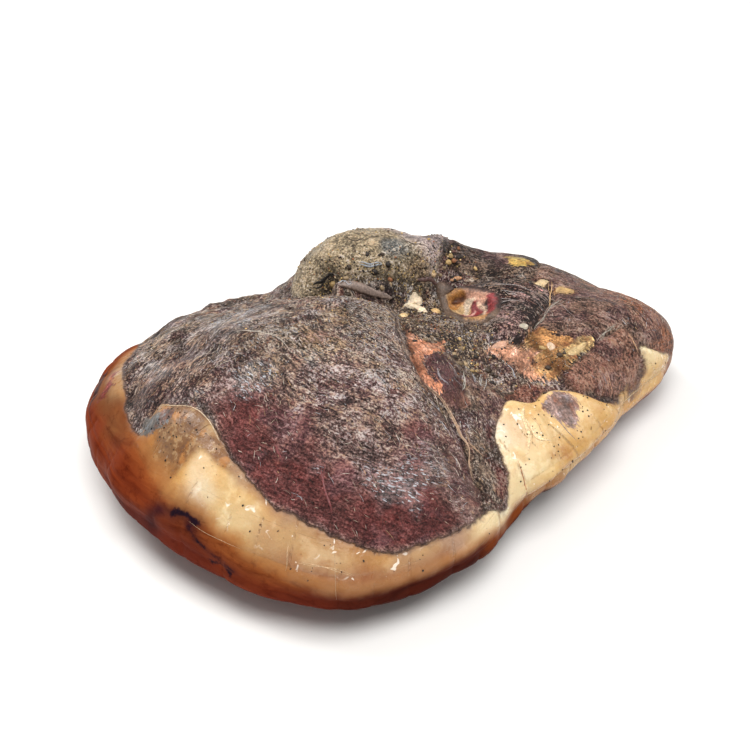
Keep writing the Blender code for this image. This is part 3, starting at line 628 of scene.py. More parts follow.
def paintLean(points, maps, blotch, fine):
    # the lean's colours, the small areas over them, and the maps of texture that its finish reads
    x, y = maps["plan"][..., 0], maps["plan"][..., 1]

    def at(name):
        return spotsAt(maps, name)

    main = soften(maps["mainMuscle"], -0.1, 0.3)
    knob = soften(maps["knob"], -0.1, 0.3)
    # the lumps of the relief: maroon is painted in their recesses as shade, and sheen on their crests
    lumps = at("lumps") * crags(points, 2.6, 93, 2)
    wine = main * soften(at("wineLow") + 0.16 * blotch + 0.12 * fine, 0.15, 0.75)
    upperWine = np.maximum(at("wineMiddle"), at("wineLeft"))
    wine = np.maximum(wine, main * 0.8 * soften(upperWine + 0.2 * fine, 0.4, 0.9))
    wine = wine * (1 - 0.75 * soften(at("dryEnd"), 0.1, 0.6)) * (1 - at("dryLeft"))
    for amount, *place in redPatches:
        wine = np.maximum(wine, main * amount * soften(lobe(x, y, *place) + 0.15 * fine, 0.2, 0.8))
    bloom = main * soften(at("bloom") + 0.3 * blotch + 0.15 * fine, 0.2, 1.0)
    bloom = np.maximum(bloom, main * at("bloomFar"))
    grooveShade = near(maps["lumpGroove"], 0.8) + near(maps["leftGroove"], 0.9)
    # the sheen map: where sheen is painted on the lean, on the lumps' crests and in the given spots; it also
    # raises the lean's specular level
    sheen = at("sheen") + 0.9 * lumps + 0.28 * blotch + 0.35 * fine
    sheen = soften(maps["leanDepth"], 0.2, 0.8) * soften(sheen, 0.25, 0.95)
    spice = (near(maps["crevice"], 0.8) + at("spice") + 0.3 * knob) * (1 - soften(maps["strip"], -0.1, 0.1))
    reddish = at("reddish")
    lean = painted(points.shape, leanColours, [
        *((name, soften(maps[name], -0.08, 0.1)) for name in muscles),
        # painted shade: maroon in the recesses between the lumps
        ("maroon", 0.75 * soften(-lumps, 0.05, 0.45)),
        ("wine", 0.9 * wine),
        ("tan", 0.6 * bloom),
        ("gold", 0.7 * main * soften(at("gold") + 0.3 * fine, 0.3, 1.0)),
        # painted shade: maroon along the two grooves
        ("maroon", 0.7 * main * soften(grooveShade + 0.3 * blotch + 0.3 * fine, 0.35, 1.0)),
        # painted sheen: slate grey where the sheen map is high, and the same grey in one spot on the main
        # muscle
        ("slateSheen", 0.25 * sheen),
        ("slateSheen", main * at("slateSheen")),
        ("tipEnd", soften(x + 0.3 * fine, 14.4, 16.0) * soften(y, 2.5, -1.0)),
        ("knobMauve", knob * soften(x + 0.4 * fine, 5.2, 6.5)),
        ("knobBlue", 0.8 * soften(at("knobBlue") + 0.2 * fine, 0.3, 1.0)),
        ("gold", 0.15 * knob * soften(at("knobGold") + 0.3 * fine, 0.3, 0.9)),
        ("knobTan", soften(at("knobTan") + 0.15 * fine, 0.3, 0.7)),
        # the pocket and the crevice painted near black: painted shade in these hollows, with dark grit in the
        # crevice; the seams between muscles are dark joints
        ("crevice", near(maps["pocket"], 0.45)),
        ("crevice", 0.9 * near(maps["crevice"], 0.28)),
        ("crevice", 0.75 * near(maps["seamGap"], 0.10) * soften(fine, -0.7, 0.2)),
        ("grit", 0.8 * (1 - knob) * soften(spice + 0.25 * fine, 0.35, 1.0)),
        ("maroon", 0.6 * soften(at("maroonLow") + 0.2 * fine, 0.25, 0.8)),
        ("maroon", reddish),
    ])
    wanderX, wanderY = wandering(x, y, points, 0.10, 0.7, 53)
    for outline, tint in leanAreas.values():
        inside = soften(depthInside(wanderX, wanderY, outline), -0.12, 0.15)
        lean = paintInto(lean, tint, inside)
        reddish = np.maximum(reddish, inside)
    areaDepth, areaTint = np.full(x.shape, -9.0), np.full(points.shape, 0.3)
    for outline, tint in smallAreas.values():
        depth = depthInside(wanderX, wanderY, outline) - maps["under"]
        areaTint = np.where((depth > areaDepth)[..., None], np.array(tint), areaTint)
        areaDepth = np.maximum(areaDepth, depth)
    # how strongly light and dark of the grain stand apart
    strength = 1.15 - 0.50 * wine + 0.26 * bloom + 0.40 * sheen - 0.35 * knob - at("grainEven")
    strength += soften(maps["fan"], -0.3, 0.2) + 0.45 * soften(-x, 6, 9) * soften(y, 0, 4)
    strength -= 0.25 * soften(maps["disc"], -0.1, 0.2) + 0.05 * soften(maps["tip"], -0.1, 0.2)
    strength -= 0.45 * soften(maps["smallLobe"], -0.2, 0.1)
    # how pale the dried strokes are: darker and browner on the shank's muscles
    onFan = soften(maps["fan"], -0.2, 0.2)
    shank = soften(np.maximum.reduce([maps["tip"], maps["disc"], maps["backRidge"]]), -0.5, 0.2)
    pale = 1 - 0.70 * np.maximum(shank, soften(x, 9.0, 11.0)) * (1 - onFan) - 0.76 * onFan
    pale -= 0.85 * soften(maps["smallLobe"], -0.2, 0.2) + 0.8 * reddish + 0.45 * at("maroonLow")
    return dict(leanTint=lean, bloom=bloom, spice=spice, wine=wine, sheen=sheen, knobShare=knob,
                shade=at("shade"), areaTint=areaTint, areaDepth=areaDepth, strength=strength,
                pale=np.clip(pale, 0, 1))


def paintFat(points, maps, blotch, fine):
    # the fat's colours, and the map of the pink lobe at the butt
    degrees, down = maps["degrees"], maps["down"]
    front = soften(degrees + 5 * blotch, 203, 217) * (1 - soften(degrees, 250, 262))
    low = soften(maps["rindDepth"] + 0.5 * fine + 0.4 * blotch, -2.6, -0.7)
    atEdge = soften(down + 0.05 * fine - 0.08 * soften(degrees, 290, 305), 0.90, 1.03)
    film = soften(maps["leanDepth"] + 0.25 * fine, -0.65, -0.05) * (0.40 + 0.5 * soften(blotch, -0.5, 0.5))
    pinkLobe = np.maximum(spotsAt(maps, "pinkLobe"), spotsAt(maps, "pinkLow"))
    pinkLobe = soften(pinkLobe + 0.14 * fine, 0.3, 0.6)
    fat = painted(points.shape, fatColours, [
        ("peach", front),
        ("pink", front * low),
        ("cream", band(degrees, 250, 262, 296, 330)),
        ("ivory", 0.9 * soften(spotsAt(maps, "fatIvory") + 0.15 * fine, 0.3, 0.8)),
        ("cream", 0.45 * soften(spotsAt(maps, "fatCream") + 0.12 * fine, 0.25, 0.75)),
        ("honey", soften(degrees, 276, 290) * soften(down + 0.06 * fine + 0.04 * blotch, 0.60, 0.90)),
        ("cream", soften(degrees, 330, 336) * (1 - soften(down, 0.80, 0.92))),
        ("chalk", 0.8 * soften(spotsAt(maps, "fatChalk") + 0.15 * fine, 0.3, 0.9)),
        ("amber", soften(degrees, 272, 292) * (1 - 0.8 * soften(degrees, 308, 322)) * atEdge),
        ("membrane", band(degrees, 120, 135, 248, 260) * film),
        ("lobe", pinkLobe),
        ("olive", 0.8 * band(degrees, 60, 90, 160, 168)),
    ])
    return dict(fatTint=fat * (1 + 0.08 * blotch[..., None]), pinkLobe=pinkLobe)


def paintRind(points, maps, blotch, fine):
    # the rind's colours, and how far inside the burnt mark each place lies
    degrees, down = maps["degrees"], maps["down"]
    atFat = np.maximum(maps["rindDepth"], 0)
    upper = soften(degrees, 120, 145) * (1 - soften(degrees + 3 * fine, 178, 192))
    around, drop = degrees * darkMark["perDegree"], down * sideLength
    blot, line, low, smudge = (routeGap(around, drop, np.array(darkMark[name]))
                               for name in ("blot", "line", "low", "smudge"))
    rind = painted(points.shape, rindColours, [
        ("brown", near(atFat, 1.3)),
        ("orange", upper * (1 - 0.8 * near(atFat, 1.5)) * (1 - soften(down + 0.04 * fine, 0.84, 0.98))),
        ("tan", upper * (1 - soften(degrees + 5 * fine, 158, 176))
         * (1 - soften(down + 0.03 * fine + 0.05 * blotch, 0.70, 0.86))),
        ("yellow", upper * (1 - soften(degrees, 150, 158)) * (1 - soften(down + 0.03 * fine, 0.64, 0.74))),
        ("brick", soften(down + 0.06 * blotch, 0.90, 1.06)),
        ("plum", 0.7 * soften(lobe(degrees, down, 178, 1.04, 14, 0.12, 0) + 0.3 * fine, 0.3, 0.9)),
        ("dark", soften(degrees + 3 * fine, 210, 236) * (1 - soften(degrees, 300, 320))
         * soften(down, 0.86, 0.98)),
        ("wedge", band(degrees, 256, 262, 276, 290) * (1 - soften(down, 1.0, 1.12))),
        ("stain", 0.85 * near(smudge, 0.55) + 0.7 * near(blot, 0.75) + 0.45 * near(line, 0.35)),
    ])
    mark = np.maximum.reduce([darkMark["blotWidth"] - blot, 0.04 - 0.7 * line, 0.10 - low])
    return dict(rindTint=rind, markDepth=mark)


def paintMaps(points, maps):
    # all maps of colour and texture of a patch
    blotch, fine = crags(points, 3.5, 61), crags(points, 1.2, 62)
    paint = {}
    for part in (paintLean, paintFat, paintRind):
        paint.update(part(points, maps, blotch, fine))
    return paint


def makeHam():
    # both patches share the rim's corner points, so the body is one closed surface
    upper, upperMaps = buildPatch(False)
    lower, lowerMaps = buildPatch(True)
    faces, own = closedPair(form["cells"])
    shift = np.array([*form["planShift"], 0])
    ham = meshFrom("curedHam", (stacked(upper, lower, own) + shift) * cm, faces)
    upperPaint, lowerPaint = paintMaps(upper, upperMaps), paintMaps(lower, lowerMaps)
    for name in upperPaint:
        addValues(ham, name, stacked(upperPaint[name], lowerPaint[name], own))
    for name in ("leanDepth", "rindDepth", "stringGap", "rowGap", "seamGap", "grain", "skin"):
        addValues(ham, name, stacked(upperMaps[name], lowerMaps[name], own))
    return ham, upper, upperMaps, upperPaint


ham, upper, upperMaps, upperPaint = makeHam()
print("body made:", len(ham.data.polygons), "faces")


class Signal:
    # what flows between shader nodes: sums and products of it add the nodes that work them out
    def __init__(self, graph, socket):
        self.graph, self.socket = graph, socket

    def __add__(self, other):
        return self.graph.maths("ADD", self, other)

    def __sub__(self, other):
        return self.graph.maths("SUBTRACT", self, other)

    def __mul__(self, other):
        return self.graph.maths("MULTIPLY", self, other)


class Graph:
    # a material, with short names for the shader nodes that the finishes use
    def __init__(self, name):
        self.material = bpy.data.materials.new(name)
        self.material.use_nodes = True
        self.tree = self.material.node_tree
        self.place = self.add("TexCoord", "Object", {})

    def put(self, socket, value):
        if isinstance(value, Signal):
            self.tree.links.new(value.socket, socket)
        elif hasattr(value, "__len__") and len(socket.default_value) > len(value):
            socket.default_value = (*value, 1)
        else:
            socket.default_value = value

    def add(self, kind, output, inputs, **settings):
        node = self.tree.nodes.new("ShaderNode" + kind)
        for key, value in settings.items():
            setattr(node, key, value)
        for key, value in inputs.items():
            self.put(node.inputs[key], value)
        return Signal(self, node.outputs[output])

    def read(self, name, output="Fac"):
        return self.add("Attribute", output, {}, attribute_name=name)

    def vector(self, operation, first, second):
        return self.add("VectorMath", 0, {0: first, 1: second}, operation=operation)

    def maths(self, operation, first, second=0.0):
        return self.add("Math", 0, {0: first, 1: second}, operation=operation)

    def grey(self, value):
        return self.add("CombineColor", 0, {0: value, 1: value, 2: value})

    def noise(self, vector, scale, detail=3, roughness=0.55, distortion=0, output="Fac"):
        inputs = dict(Vector=vector, Scale=scale, Detail=detail, Roughness=roughness, Distortion=distortion)
        return self.add("TexNoise", output, inputs)

    def cells(self, scale):
        return self.add("TexVoronoi", "Distance", dict(Vector=self.place, Scale=scale))

    def between(self, value, low, high, start=0.0, end=1.0):
        # soft change from start at low to end at high
        limits = {"From Min": low, "From Max": high, "To Min": start, "To Max": end}
        return self.add("MapRange", "Result", {"Value": value, **limits}, interpolation_type="SMOOTHSTEP")

    def mix(self, first, second, amount, blend="MIX"):
        inputs = {"Factor": amount, 6: first, 7: second}
        return self.add("Mix", 2, inputs, data_type="RGBA", blend_type=blend)

    def tinged(self, colour, tint, amount=1.0):
        # a colour times a tint, by amount
        return self.mix(colour, self.mix(colour, tint, 1.0, "MULTIPLY"), amount)

    def lit(self, colour, power):
        # a colour times e to a power
        return self.mix(colour, self.grey(self.maths("EXPONENT", power)), 1.0, "MULTIPLY")

    def ridge(self, value, width):
        # 1 on the thin lines where a noise crosses its middle
        return self.between(self.maths("ABSOLUTE", value - 0.5), width, width * 0.2)

    def bump(self, height, strength, distance):
        return self.add("Bump", "Normal", dict(Strength=strength, Distance=distance, Height=height))

    def finish(self, inputs, scatter=0.0, radius=(1.0, 0.5, 0.25), depth=0.002):
        # hands everything to the shader; scatter is how much light goes under the surface, and depth how far
        below = {"Subsurface Weight": scatter, "Subsurface Radius": radius, "Subsurface Scale": depth}
        for key, value in {**inputs, **below}.items():
            self.put(self.tree.nodes["Principled BSDF"].inputs[key], value)
        return self.material


# colours that the finish itself lays over the painted ones; a tint multiplies
tones = dict(
    wineRed=(0.15, 0.030, 0.026),
    violet=(0.115, 0.046, 0.052),
    # silver: the grey of the painted sheen on the lean
    silver=(0.190, 0.175, 0.175),
    ochre=(0.240, 0.160, 0.085),
    pit=(0.014, 0.007, 0.006),
    # glint: the pale colour of the painted glints
    glint=(0.66, 0.67, 0.72),
    goldGrain=(0.46, 0.31, 0.11),
    pepperGrain=(0.018, 0.013, 0.010),
    dryTan=(0.42, 0.29, 0.19),
    dryWhite=(0.60, 0.51, 0.42),
    dryBlue=(0.50, 0.50, 0.53),
    dryGold=(0.40, 0.27, 0.11),
    dryRed=(0.270, 0.104, 0.092),
    dryBrown=(0.250, 0.160, 0.120),
    warmTint=(0.92, 0.76, 0.55),
    lightTint=(1.18, 1.32, 1.55),
    darkTint=(0.72, 0.56, 0.46),
    veinTint=(0.75, 0.55, 0.45),
    blotDark=(0.130, 0.066, 0.040),
    blotLight=(0.48, 0.315, 0.165),
    blotOrange=(0.44, 0.19, 0.050),
    netLine=(0.38, 0.17, 0.07),
    fatGlint=(0.95, 0.86, 0.74),
    streakTint=(0.55, 0.42, 0.40),
    paleTint=(1.25, 1.35, 1.25),
    netTint=(0.6, 0.5, 0.5),
    speckTint=(0.75, 0.68, 0.68),
    browned=(0.42, 0.19, 0.05),
    burnt=(0.014, 0.006, 0.012),
    edgeShadeTone=(0.16, 0.085, 0.065),
    areaRed=(0.16, 0.050, 0.022),
    areaTint=(1.4, 1.75, 2.1),
    areaPit=(0.10, 0.05, 0.03),
)


def hamFinish():
    # lean, fat and rind in one finish: each has its own colours and grain, and ragged masks join them
    g = Graph("curedHamFinish")
    place, noise, between, mix = g.place, g.noise, g.between, g.mix
    bloom, spice, wine = g.read("bloom"), g.read("spice"), g.read("wine")
    sheen, knob = g.read("sheen"), g.read("knobShare")
    warp = g.vector("SUBTRACT", noise(place, 75, 2, 0.5, output="Color"), (0.5, 0.5, 0.5))
    grain = g.vector("ADD", g.read("grain", "Vector"), g.vector("MULTIPLY", warp, (0.58, 0.58, 0.58)))

    def stretched(scales, *settings):
        # noise drawn out along the fibres
        return noise(g.vector("MULTIPLY", grain, scales), 1.0, *settings)

    fibres = stretched((1.7, 7.5, 4.0), 4, 0.66, 0.1)
    fibres = fibres + (noise(place, 380, 4, 0.72) - fibres) * knob
    speckle = noise(place, 820, 2, 0.6)
    patches = noise(place, 60, 4, 0.6)
    cover = noise(place, 78, 3, 0.6)
    broad = noise(place, 50)
    wide = noise(place, 16, 3, 0.5)
    strand = g.ridge(stretched((1.2, 6.0, 3.5), 2, 0.5, 0.2), 0.045)
    tangle = g.ridge(noise(place, 260, 2, 0.5, 0.4), 0.035)

    # lean: its gain is e to the power of the summed grain, so that light and dark spread as on dried meat
    power = (fibres - 0.5) * 7.2 + (speckle - 0.5) * 6.5 + (cover - 0.5) * 4.6
    power = power * g.read("strength")
    meat = between(knob, 0.0, 0.5, 1.0, 0.0)
    lean = g.read("leanTint", "Color")
    lean = mix(lean, tones["wineRed"], between(stretched((0.45, 1.6, 0.8), 3), 0.54, 0.66) * 0.5 * meat)
    lean = mix(lean, tones["violet"], between(broad, 0.50, 0.60) * 0.7 * meat)
    # painted sheen: silvery grey in broad patches where the sheen map is high
    lean = mix(lean, tones["silver"], between(broad, 0.46, 0.38) * 0.55 * (meat * sheen))
    lean = mix(lean, tones["ochre"], between(noise(place, 66), 0.54, 0.64, 0, 0.6) * (bloom * meat))
    lean = g.lit(lean, power * 0.8 - 0.26)
    dryColour = mix(tones["dryTan"], tones["dryWhite"], between(noise(place, 150), 0.45, 0.60))
    dryColour = mix(dryColour, tones["dryBlue"], between(noise(place, 55), 0.46, 0.56) * 0.6)
    dryColour = mix(dryColour, tones["dryGold"], between(noise(place, 220, 2), 0.58, 0.66, 0, 0.7))
    dryColour = mix(dryColour, tones["dryRed"], wine * 0.88)
    dryColour = mix(tones["dryBrown"], dryColour, g.read("pale"))
    lean = mix(lean, dryColour, between(power, 0.5, 1.5) * between(wine, 0.0, 1.0, 0.80, 0.45))
    lines = g.maths("MAXIMUM", strand, tangle * 0.8) * between(power + patches * 2.0, 0.1, 1.3)
    lines = lines * between(bloom + sheen + wine * -0.6, -0.4, 0.9, 0.22, 1.0)
    lean = mix(lean, dryColour, lines * between(knob, 0.0, 1.0, 1.0, 0.2))
    lean = mix(lean, tones["pit"], between(power, -0.75, -1.9, 0, 0.80))
    # painted glints: thin pale strokes along the fibres where the sheen map is high
    glint = between(stretched((1.8, 10.0, 5.0), 2, 0.6, 0.4) + (cover - 0.5) * 0.2, 0.585, 0.630)
    lean = mix(lean, tones["glint"], glint * 0.9 * between(sheen, 0.05, 0.8))
    gold = between(g.cells(430), 0.26, 0.14) * between(spice * 0.8 + bloom * 0.25 + patches, 0.70, 1.4)
    lean = mix(lean, tones["goldGrain"], gold * 0.8)
    pits = between(g.cells(300), 0.25, 0.10) * between(spice + patches, 0.70, 1.25)
    lean = mix(lean, tones["pepperGrain"], pits * 0.8)
    # painted light and shade: the lean times e to the power of the shade map
    lean = g.lit(lean, g.read("shade"))

    # fat
    pinkLobe = g.read("pinkLobe")
    fat = g.tinged(g.read("fatTint", "Color"), tones["warmTint"], between(wide, 0.48, 0.64))
    offLobe = between(pinkLobe, 0.0, 1.0, 1.0, 0.6)
    fat = g.tinged(fat, tones["lightTint"], between(patches, 0.50, 0.62, 0, 0.9) * offLobe)
    fat = g.tinged(fat, tones["darkTint"], between(noise(place, 38, 4, 0.62), 0.55, 0.68, 0, 0.7))
    blots = noise(place, 170, 4, 0.70)
    fat = mix(fat, tones["blotDark"], between(blots, 0.52, 0.62) * (pinkLobe * 0.7))
    fat = mix(fat, tones["blotLight"], between(blots, 0.48, 0.36) * (pinkLobe * 0.50))
    fat = mix(fat, tones["blotOrange"], between(noise(place, 95), 0.54, 0.66) * (pinkLobe * 0.7))
    fat = g.tinged(fat, tones["veinTint"], between(noise(place, 130, 4, 0.65, 0.6), 0.55, 0.75) * 0.5)
    stringLine, rowLine = between(g.read("stringGap"), 0.10, 0.0), between(g.read("rowGap"), 0.08, 0.0)
    netLine = g.maths("MAXIMUM", stringLine, rowLine) * between(noise(place, 70, 2), 0.42, 0.6)
    fat = mix(fat, tones["netLine"], netLine * 0.35)
    # painted highlights: small pale glints on the fat, fainter on the pink lobe
    wetGlint = between(noise(place, 150, 2, 0.5, 0.8), 0.655, 0.70) * between(wide, 0.44, 0.52)
    fat = mix(fat, tones["fatGlint"], wetGlint * between(pinkLobe, 0.0, 1.0, 0.75, 0.15))

    # rind
    streaks = noise(g.vector("MULTIPLY", g.read("skin", "Vector"), (0.30, 1.1, 1)), 1.0, 4, 0.55, 0.5)
    rind = g.tinged(g.read("rindTint", "Color"), tones["streakTint"], between(streaks, 0.50, 0.70, 0, 0.8))
    rind = g.tinged(rind, tones["paleTint"], between(streaks, 0.48, 0.32))
    rind = g.tinged(rind, tones["netTint"], netLine * 0.4)
    rind = g.tinged(rind, tones["speckTint"], between(noise(place, 200, 4, 0.7), 0.52, 0.68))
    mark = between(g.read("markDepth") + (noise(place, 160, 4, 0.70) - 0.5) * 0.85, -0.12, 0.14)

    # small areas
    area = g.read("areaTint", "Color")
    area = mix(area, tones["areaRed"], between(noise(place, 95, 3, 0.6), 0.52, 0.66, 0, 0.7))
    area = g.tinged(area, tones["areaTint"], between(noise(place, 130, 3, 0.6), 0.48, 0.38, 0, 0.7))
    area = g.lit(area, (speckle + fibres - 1.0) * 2.6 + (patches - 0.5) * 4.0)
    area = mix(area, tones["areaPit"], between(g.cells(360), 0.20, 0.08, 0, 0.6))

    # masks
    ragged = noise(place, 260, 4, 0.65) * 0.26 + noise(place, 90) * 0.30
    leanEdge = g.read("leanDepth") + (ragged - 0.28)
    leanMask = between(leanEdge, -0.05, 0.05)
    rindSide = g.read("rindDepth") + (noise(place, 40, 4, 0.6) * 1.8 - 0.9)
    rindMask = between(rindSide, -0.85, 0.80)
    areaMask = between(g.read("areaDepth") + (ragged * 1.1 + (fibres - 0.5) * 1.1) - 0.30, -0.06, 0.10)
    # painted shade: a dark line along the lean's edge, where lean and fat meet
    edgeShade = between(leanEdge, 0.14, 0.0) * between(leanEdge, -0.16, -0.02)
    colour = mix(fat, tones["browned"], between(rindSide, -1.2, 0.1, 0, 0.8))
    colour = mix(colour, rind, rindMask)
    colour = mix(colour, tones["burnt"], mark)
    colour = mix(colour, lean, leanMask)
    colour = mix(colour, tones["edgeShadeTone"], edgeShade * 0.5)
    colour = mix(colour, area, areaMask)

    # gloss
    leanRough = between(speckle + patches * 0.8, 0.75, 1.05, 0.32, 0.62)
    rough = mix(between(noise(place, 160), 0.35, 0.65, 0.18, 0.42), (0.48, 0.48, 0.48), rindMask)
    rough = mix(rough, leanRough, g.maths("MAXIMUM", leanMask, areaMask))
    shine = mix((0.40, 0.40, 0.40), (0.012, 0.012, 0.012), rindMask)
    shine = mix(shine, g.grey(between(sheen + wine * -0.4, -0.4, 1.0, 0.12, 0.60)), leanMask)

    # relief too fine for the mesh
    fatHeight = mix(noise(place, 220, 4, 0.6) * 0.30 + netLine * -0.35, streaks * 0.5, rindMask)
    height = mix(fatHeight, fibres + speckle * 0.5 + lines * 0.25, leanMask)
    return g.finish({"Base Color": colour, "Roughness": rough, "Specular IOR Level": shine,
                     "Normal": g.bump(height, 1.0, 0.0022)}, 0.08, (1.0, 0.45, 0.25), 0.003)


ham.data.materials.append(hamFinish())
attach(ham, "root")
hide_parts("speck_ham")
print("body finished")


def tintedFinish(name, rough, specular, mottle, bump, scatter=0.0):
    # a finish that takes its colour from the piece's own tint and mottles it
    g = Graph(name)
    grain = g.noise(g.place, 900, 3, 0.6)
    return g.finish({"Base Color": g.lit(g.read("tint", "Color"), (grain - 0.5) * mottle),
                     "Roughness": g.between(grain, 0.35, 0.65, rough - 0.1, rough + 0.1),
                     "Specular IOR Level": specular, "Normal": g.bump(grain, bump, 0.0006)}, scatter)


# the finished upper side as a table: point and outward direction at each grid corner
along, across = np.gradient(upper, axis=0), np.gradient(upper, axis=1)
outward = np.cross(along, across)
cellSize = np.linalg.norm(outward, axis=-1)
outward /= np.maximum(cellSize, 1e-9)[..., None]
upperSkin = np.concatenate([upper, outward], axis=-1)


def gridAt(values, a, b):
    # blends a table of the square grid between its four nearest corners
    side = form["cells"]
    i, j = (np.clip((place + 1) / 2 * side, 0, side - 1e-6) for place in (a, b))
    i0, j0 = i.astype(int), j.astype(int)
    u, v = (i - i0)[..., None], (j - j0)[..., None]
    near = values[i0, j0] * (1 - v) + values[i0, j0 + 1] * v
    return near * (1 - u) + (values[i0 + 1, j0] * (1 - v) + values[i0 + 1, j0 + 1] * v) * u


def surfaceAt(x, y):
    # the finished upper side over a plan place: undoes the plain form's spread, then the round grid
    angle = np.arctan2(y, x)
    spread = np.clip(np.hypot(x, y) / periodic(form["rimRadius"], angle), 0, 0.999)
    reach = np.arcsin(spread ** (form["topRounding"][0] / 2)) * 2 / math.pi
    turn = np.round(angle / (math.pi / 2)) * math.pi / 2
    beside = reach * (angle - turn) / (math.pi / 4)
    found = gridAt(upperSkin, reach * np.cos(turn) - beside * np.sin(turn),
                   reach * np.sin(turn) + beside * np.cos(turn))
    return found[..., :3], found[..., 3:]


def scatter(count, density, chance):
    # seeded draws of plan places, as thick on the ground as the density says
    weight = (density * cellSize)[:-1, :-1]
    pick = chance.choice(weight.size, count, p=weight.ravel() / weight.sum())
    i, j = np.divmod(pick, form["cells"])
    a, b = ((place + chance.random(count)) / form["cells"] * 2 - 1 for place in (i, j))
    return gridAt(upperMaps["plan"], a, b)


def tinted(palette, count, chance, spread=0.18):
    # a colour for each piece, drawn from a palette of (share, colour), a little lighter or darker
    shares = np.array([share for share, _ in palette])
    colours = np.array([colour for _, colour in palette])
    picked = colours[chance.choice(len(palette), count, p=shares / shares.sum())]
    return np.clip(picked * np.exp(chance.normal(0, spread, (count, 1))), 0, 1)


def finishPiece(name, points, faces, tints, material, slot, smooth=True):
    piece = meshFrom(name, (points + np.array([*form["planShift"], 0])) * cm, faces, smooth)
    addValues(piece, "tint", tints)
    piece.data.materials.append(material)
    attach(piece, "root")
    print(name, "made:", len(faces), "faces")


def joined(parts):
    # several small meshes, each points, faces and tints, as one
    points, faces, tints = zip(*parts)
    starts = np.cumsum([0, *(len(part) for part in points[:-1])])
    faces = [part + start for part, start in zip(faces, starts)]
    return [np.concatenate(rows) for rows in (points, faces, tints)]


def patchOver(outline, side, heightOf, sink):
    # a closed lens over a plan outline: each place is the centre plus the reach times the way to the outline,
    # and its height above the ham comes from a rule of place and reach
    a, b = np.meshgrid(np.linspace(-1, 1, side + 1), np.linspace(-1, 1, side + 1), indexing="ij")
    reach, angle = squareToDisk(a, b)
    outline = np.array(outline)
    centre = outline.mean(axis=0)
    x, y = (centre[k] + reach * (periodic(outline[:, k], angle) - centre[k]) for k in (0, 1))
    point, out = surfaceAt(x, y)
    faces, own = closedPair(side)
    after = np.roll(outline, -1, axis=0)
    if np.sum(outline[:, 0] * after[:, 1] - after[:, 0] * outline[:, 1]) < 0:
        faces = faces[:, ::-1]  # an outline that runs clockwise
    top = point + out * heightOf(x, y, reach)[..., None]
    bottom = point - out * sink
    return x, y, own, stacked(top, bottom, own), faces


# a small stone: the twelve corners and twenty faces of an icosahedron
golden = (1 + math.sqrt(5)) / 2
stoneCorners = np.array([(-1, golden, 0), (1, golden, 0), (-1, -golden, 0), (1, -golden, 0), (0, -1, golden),
                         (0, 1, golden), (0, -1, -golden), (0, 1, -golden), (golden, 0, -1), (golden, 0, 1),
                         (-golden, 0, -1), (-golden, 0, 1)]) / math.hypot(1, golden)
stoneFaces = np.array([(0, 11, 5), (0, 5, 1), (0, 1, 7), (0, 7, 10), (0, 10, 11), (1, 5, 9), (5, 11, 4),
                       (11, 10, 2), (10, 7, 6), (7, 1, 8), (3, 9, 4), (3, 4, 2), (3, 2, 6), (3, 6, 8),
                       (3, 8, 9), (4, 9, 5), (2, 4, 11), (6, 2, 10), (8, 6, 7), (9, 8, 1)])


def stones(places, sizes, thickness, lift, rough, chance):
    # an uneven stone at each plan place: corners in and out by chance, turned, flattened, sunk in a little
    point, out = surfaceAt(places[:, 0], places[:, 1])
    turn = chance.uniform(0, fullTurn, len(places))
    helper = np.stack([np.cos(turn), np.sin(turn), np.zeros(len(turn))], axis=-1)
    side = np.cross(out, helper)
    side /= np.linalg.norm(side, axis=-1, keepdims=True)
    ahead = np.cross(side, out)
    corners = stoneCorners * chance.uniform(1 - rough, 1 + rough, (len(places), 12, 1))
    corners *= (sizes / 2)[:, None, None]
    slim = chance.uniform(0.6, 1.0, (len(places), 1, 1))
    points = (corners[..., :1] * side[:, None] + corners[..., 1:2] * slim * ahead[:, None]
              + corners[..., 2:] * thickness * out[:, None])
    points += (point + out * (sizes * lift)[:, None])[:, None]
    faces = stoneFaces + 12 * np.arange(len(places))[:, None, None]
    return points.reshape(-1, 3), faces.reshape(-1, 3)


def cords(routes, halfWidth, halfHeight, lift, sides=4):
    # a tapering closed cord along each plan route: rings across the route, with a point at either end
    count, steps = routes.shape[:2]
    point, out = surfaceAt(routes[..., 0], routes[..., 1])
    ahead = np.gradient(point, axis=1)
    side = np.cross(out, ahead)
    side /= np.maximum(np.linalg.norm(side, axis=-1, keepdims=True), 1e-9)
    taper = np.sin(np.linspace(0, math.pi, steps)) ** 0.55
    taper[[0, -1]] = 0
    turn = np.linspace(0, fullTurn, sides, endpoint=False)
    wide = (halfWidth[:, None] * taper)[..., None, None] * np.cos(turn)[:, None]
    high = (halfHeight[:, None] * taper)[..., None, None] * np.sin(turn)[:, None]
    centre = point + out * lift
    rings = centre[:, :, None] + wide * side[:, :, None] + high * out[:, :, None]
    points = np.concatenate([centre[:, :1], rings[:, 1:-1].reshape(count, -1, 3), centre[:, -1:]], axis=1)
    inner = steps - 2
    ring = 1 + np.arange(inner * sides).reshape(inner, sides)
    nextRing = np.roll(ring, -1, axis=1)
    bands = np.stack([ring[:-1], ring[1:], nextRing[1:], nextRing[:-1]], axis=-1).reshape(-1, 4)
    bands = np.concatenate([bands[:, [0, 1, 2]], bands[:, [0, 2, 3]]])
    start = np.stack([np.zeros(sides, int), ring[0], nextRing[0]], axis=-1)
    end = np.stack([np.full(sides, inner * sides + 1), nextRing[-1], ring[-1]], axis=-1)
    faces = np.concatenate([bands, start, end]) + (inner * sides + 2) * np.arange(count)[:, None, None]
    return points.reshape(-1, 3), faces.reshape(-1, 3)


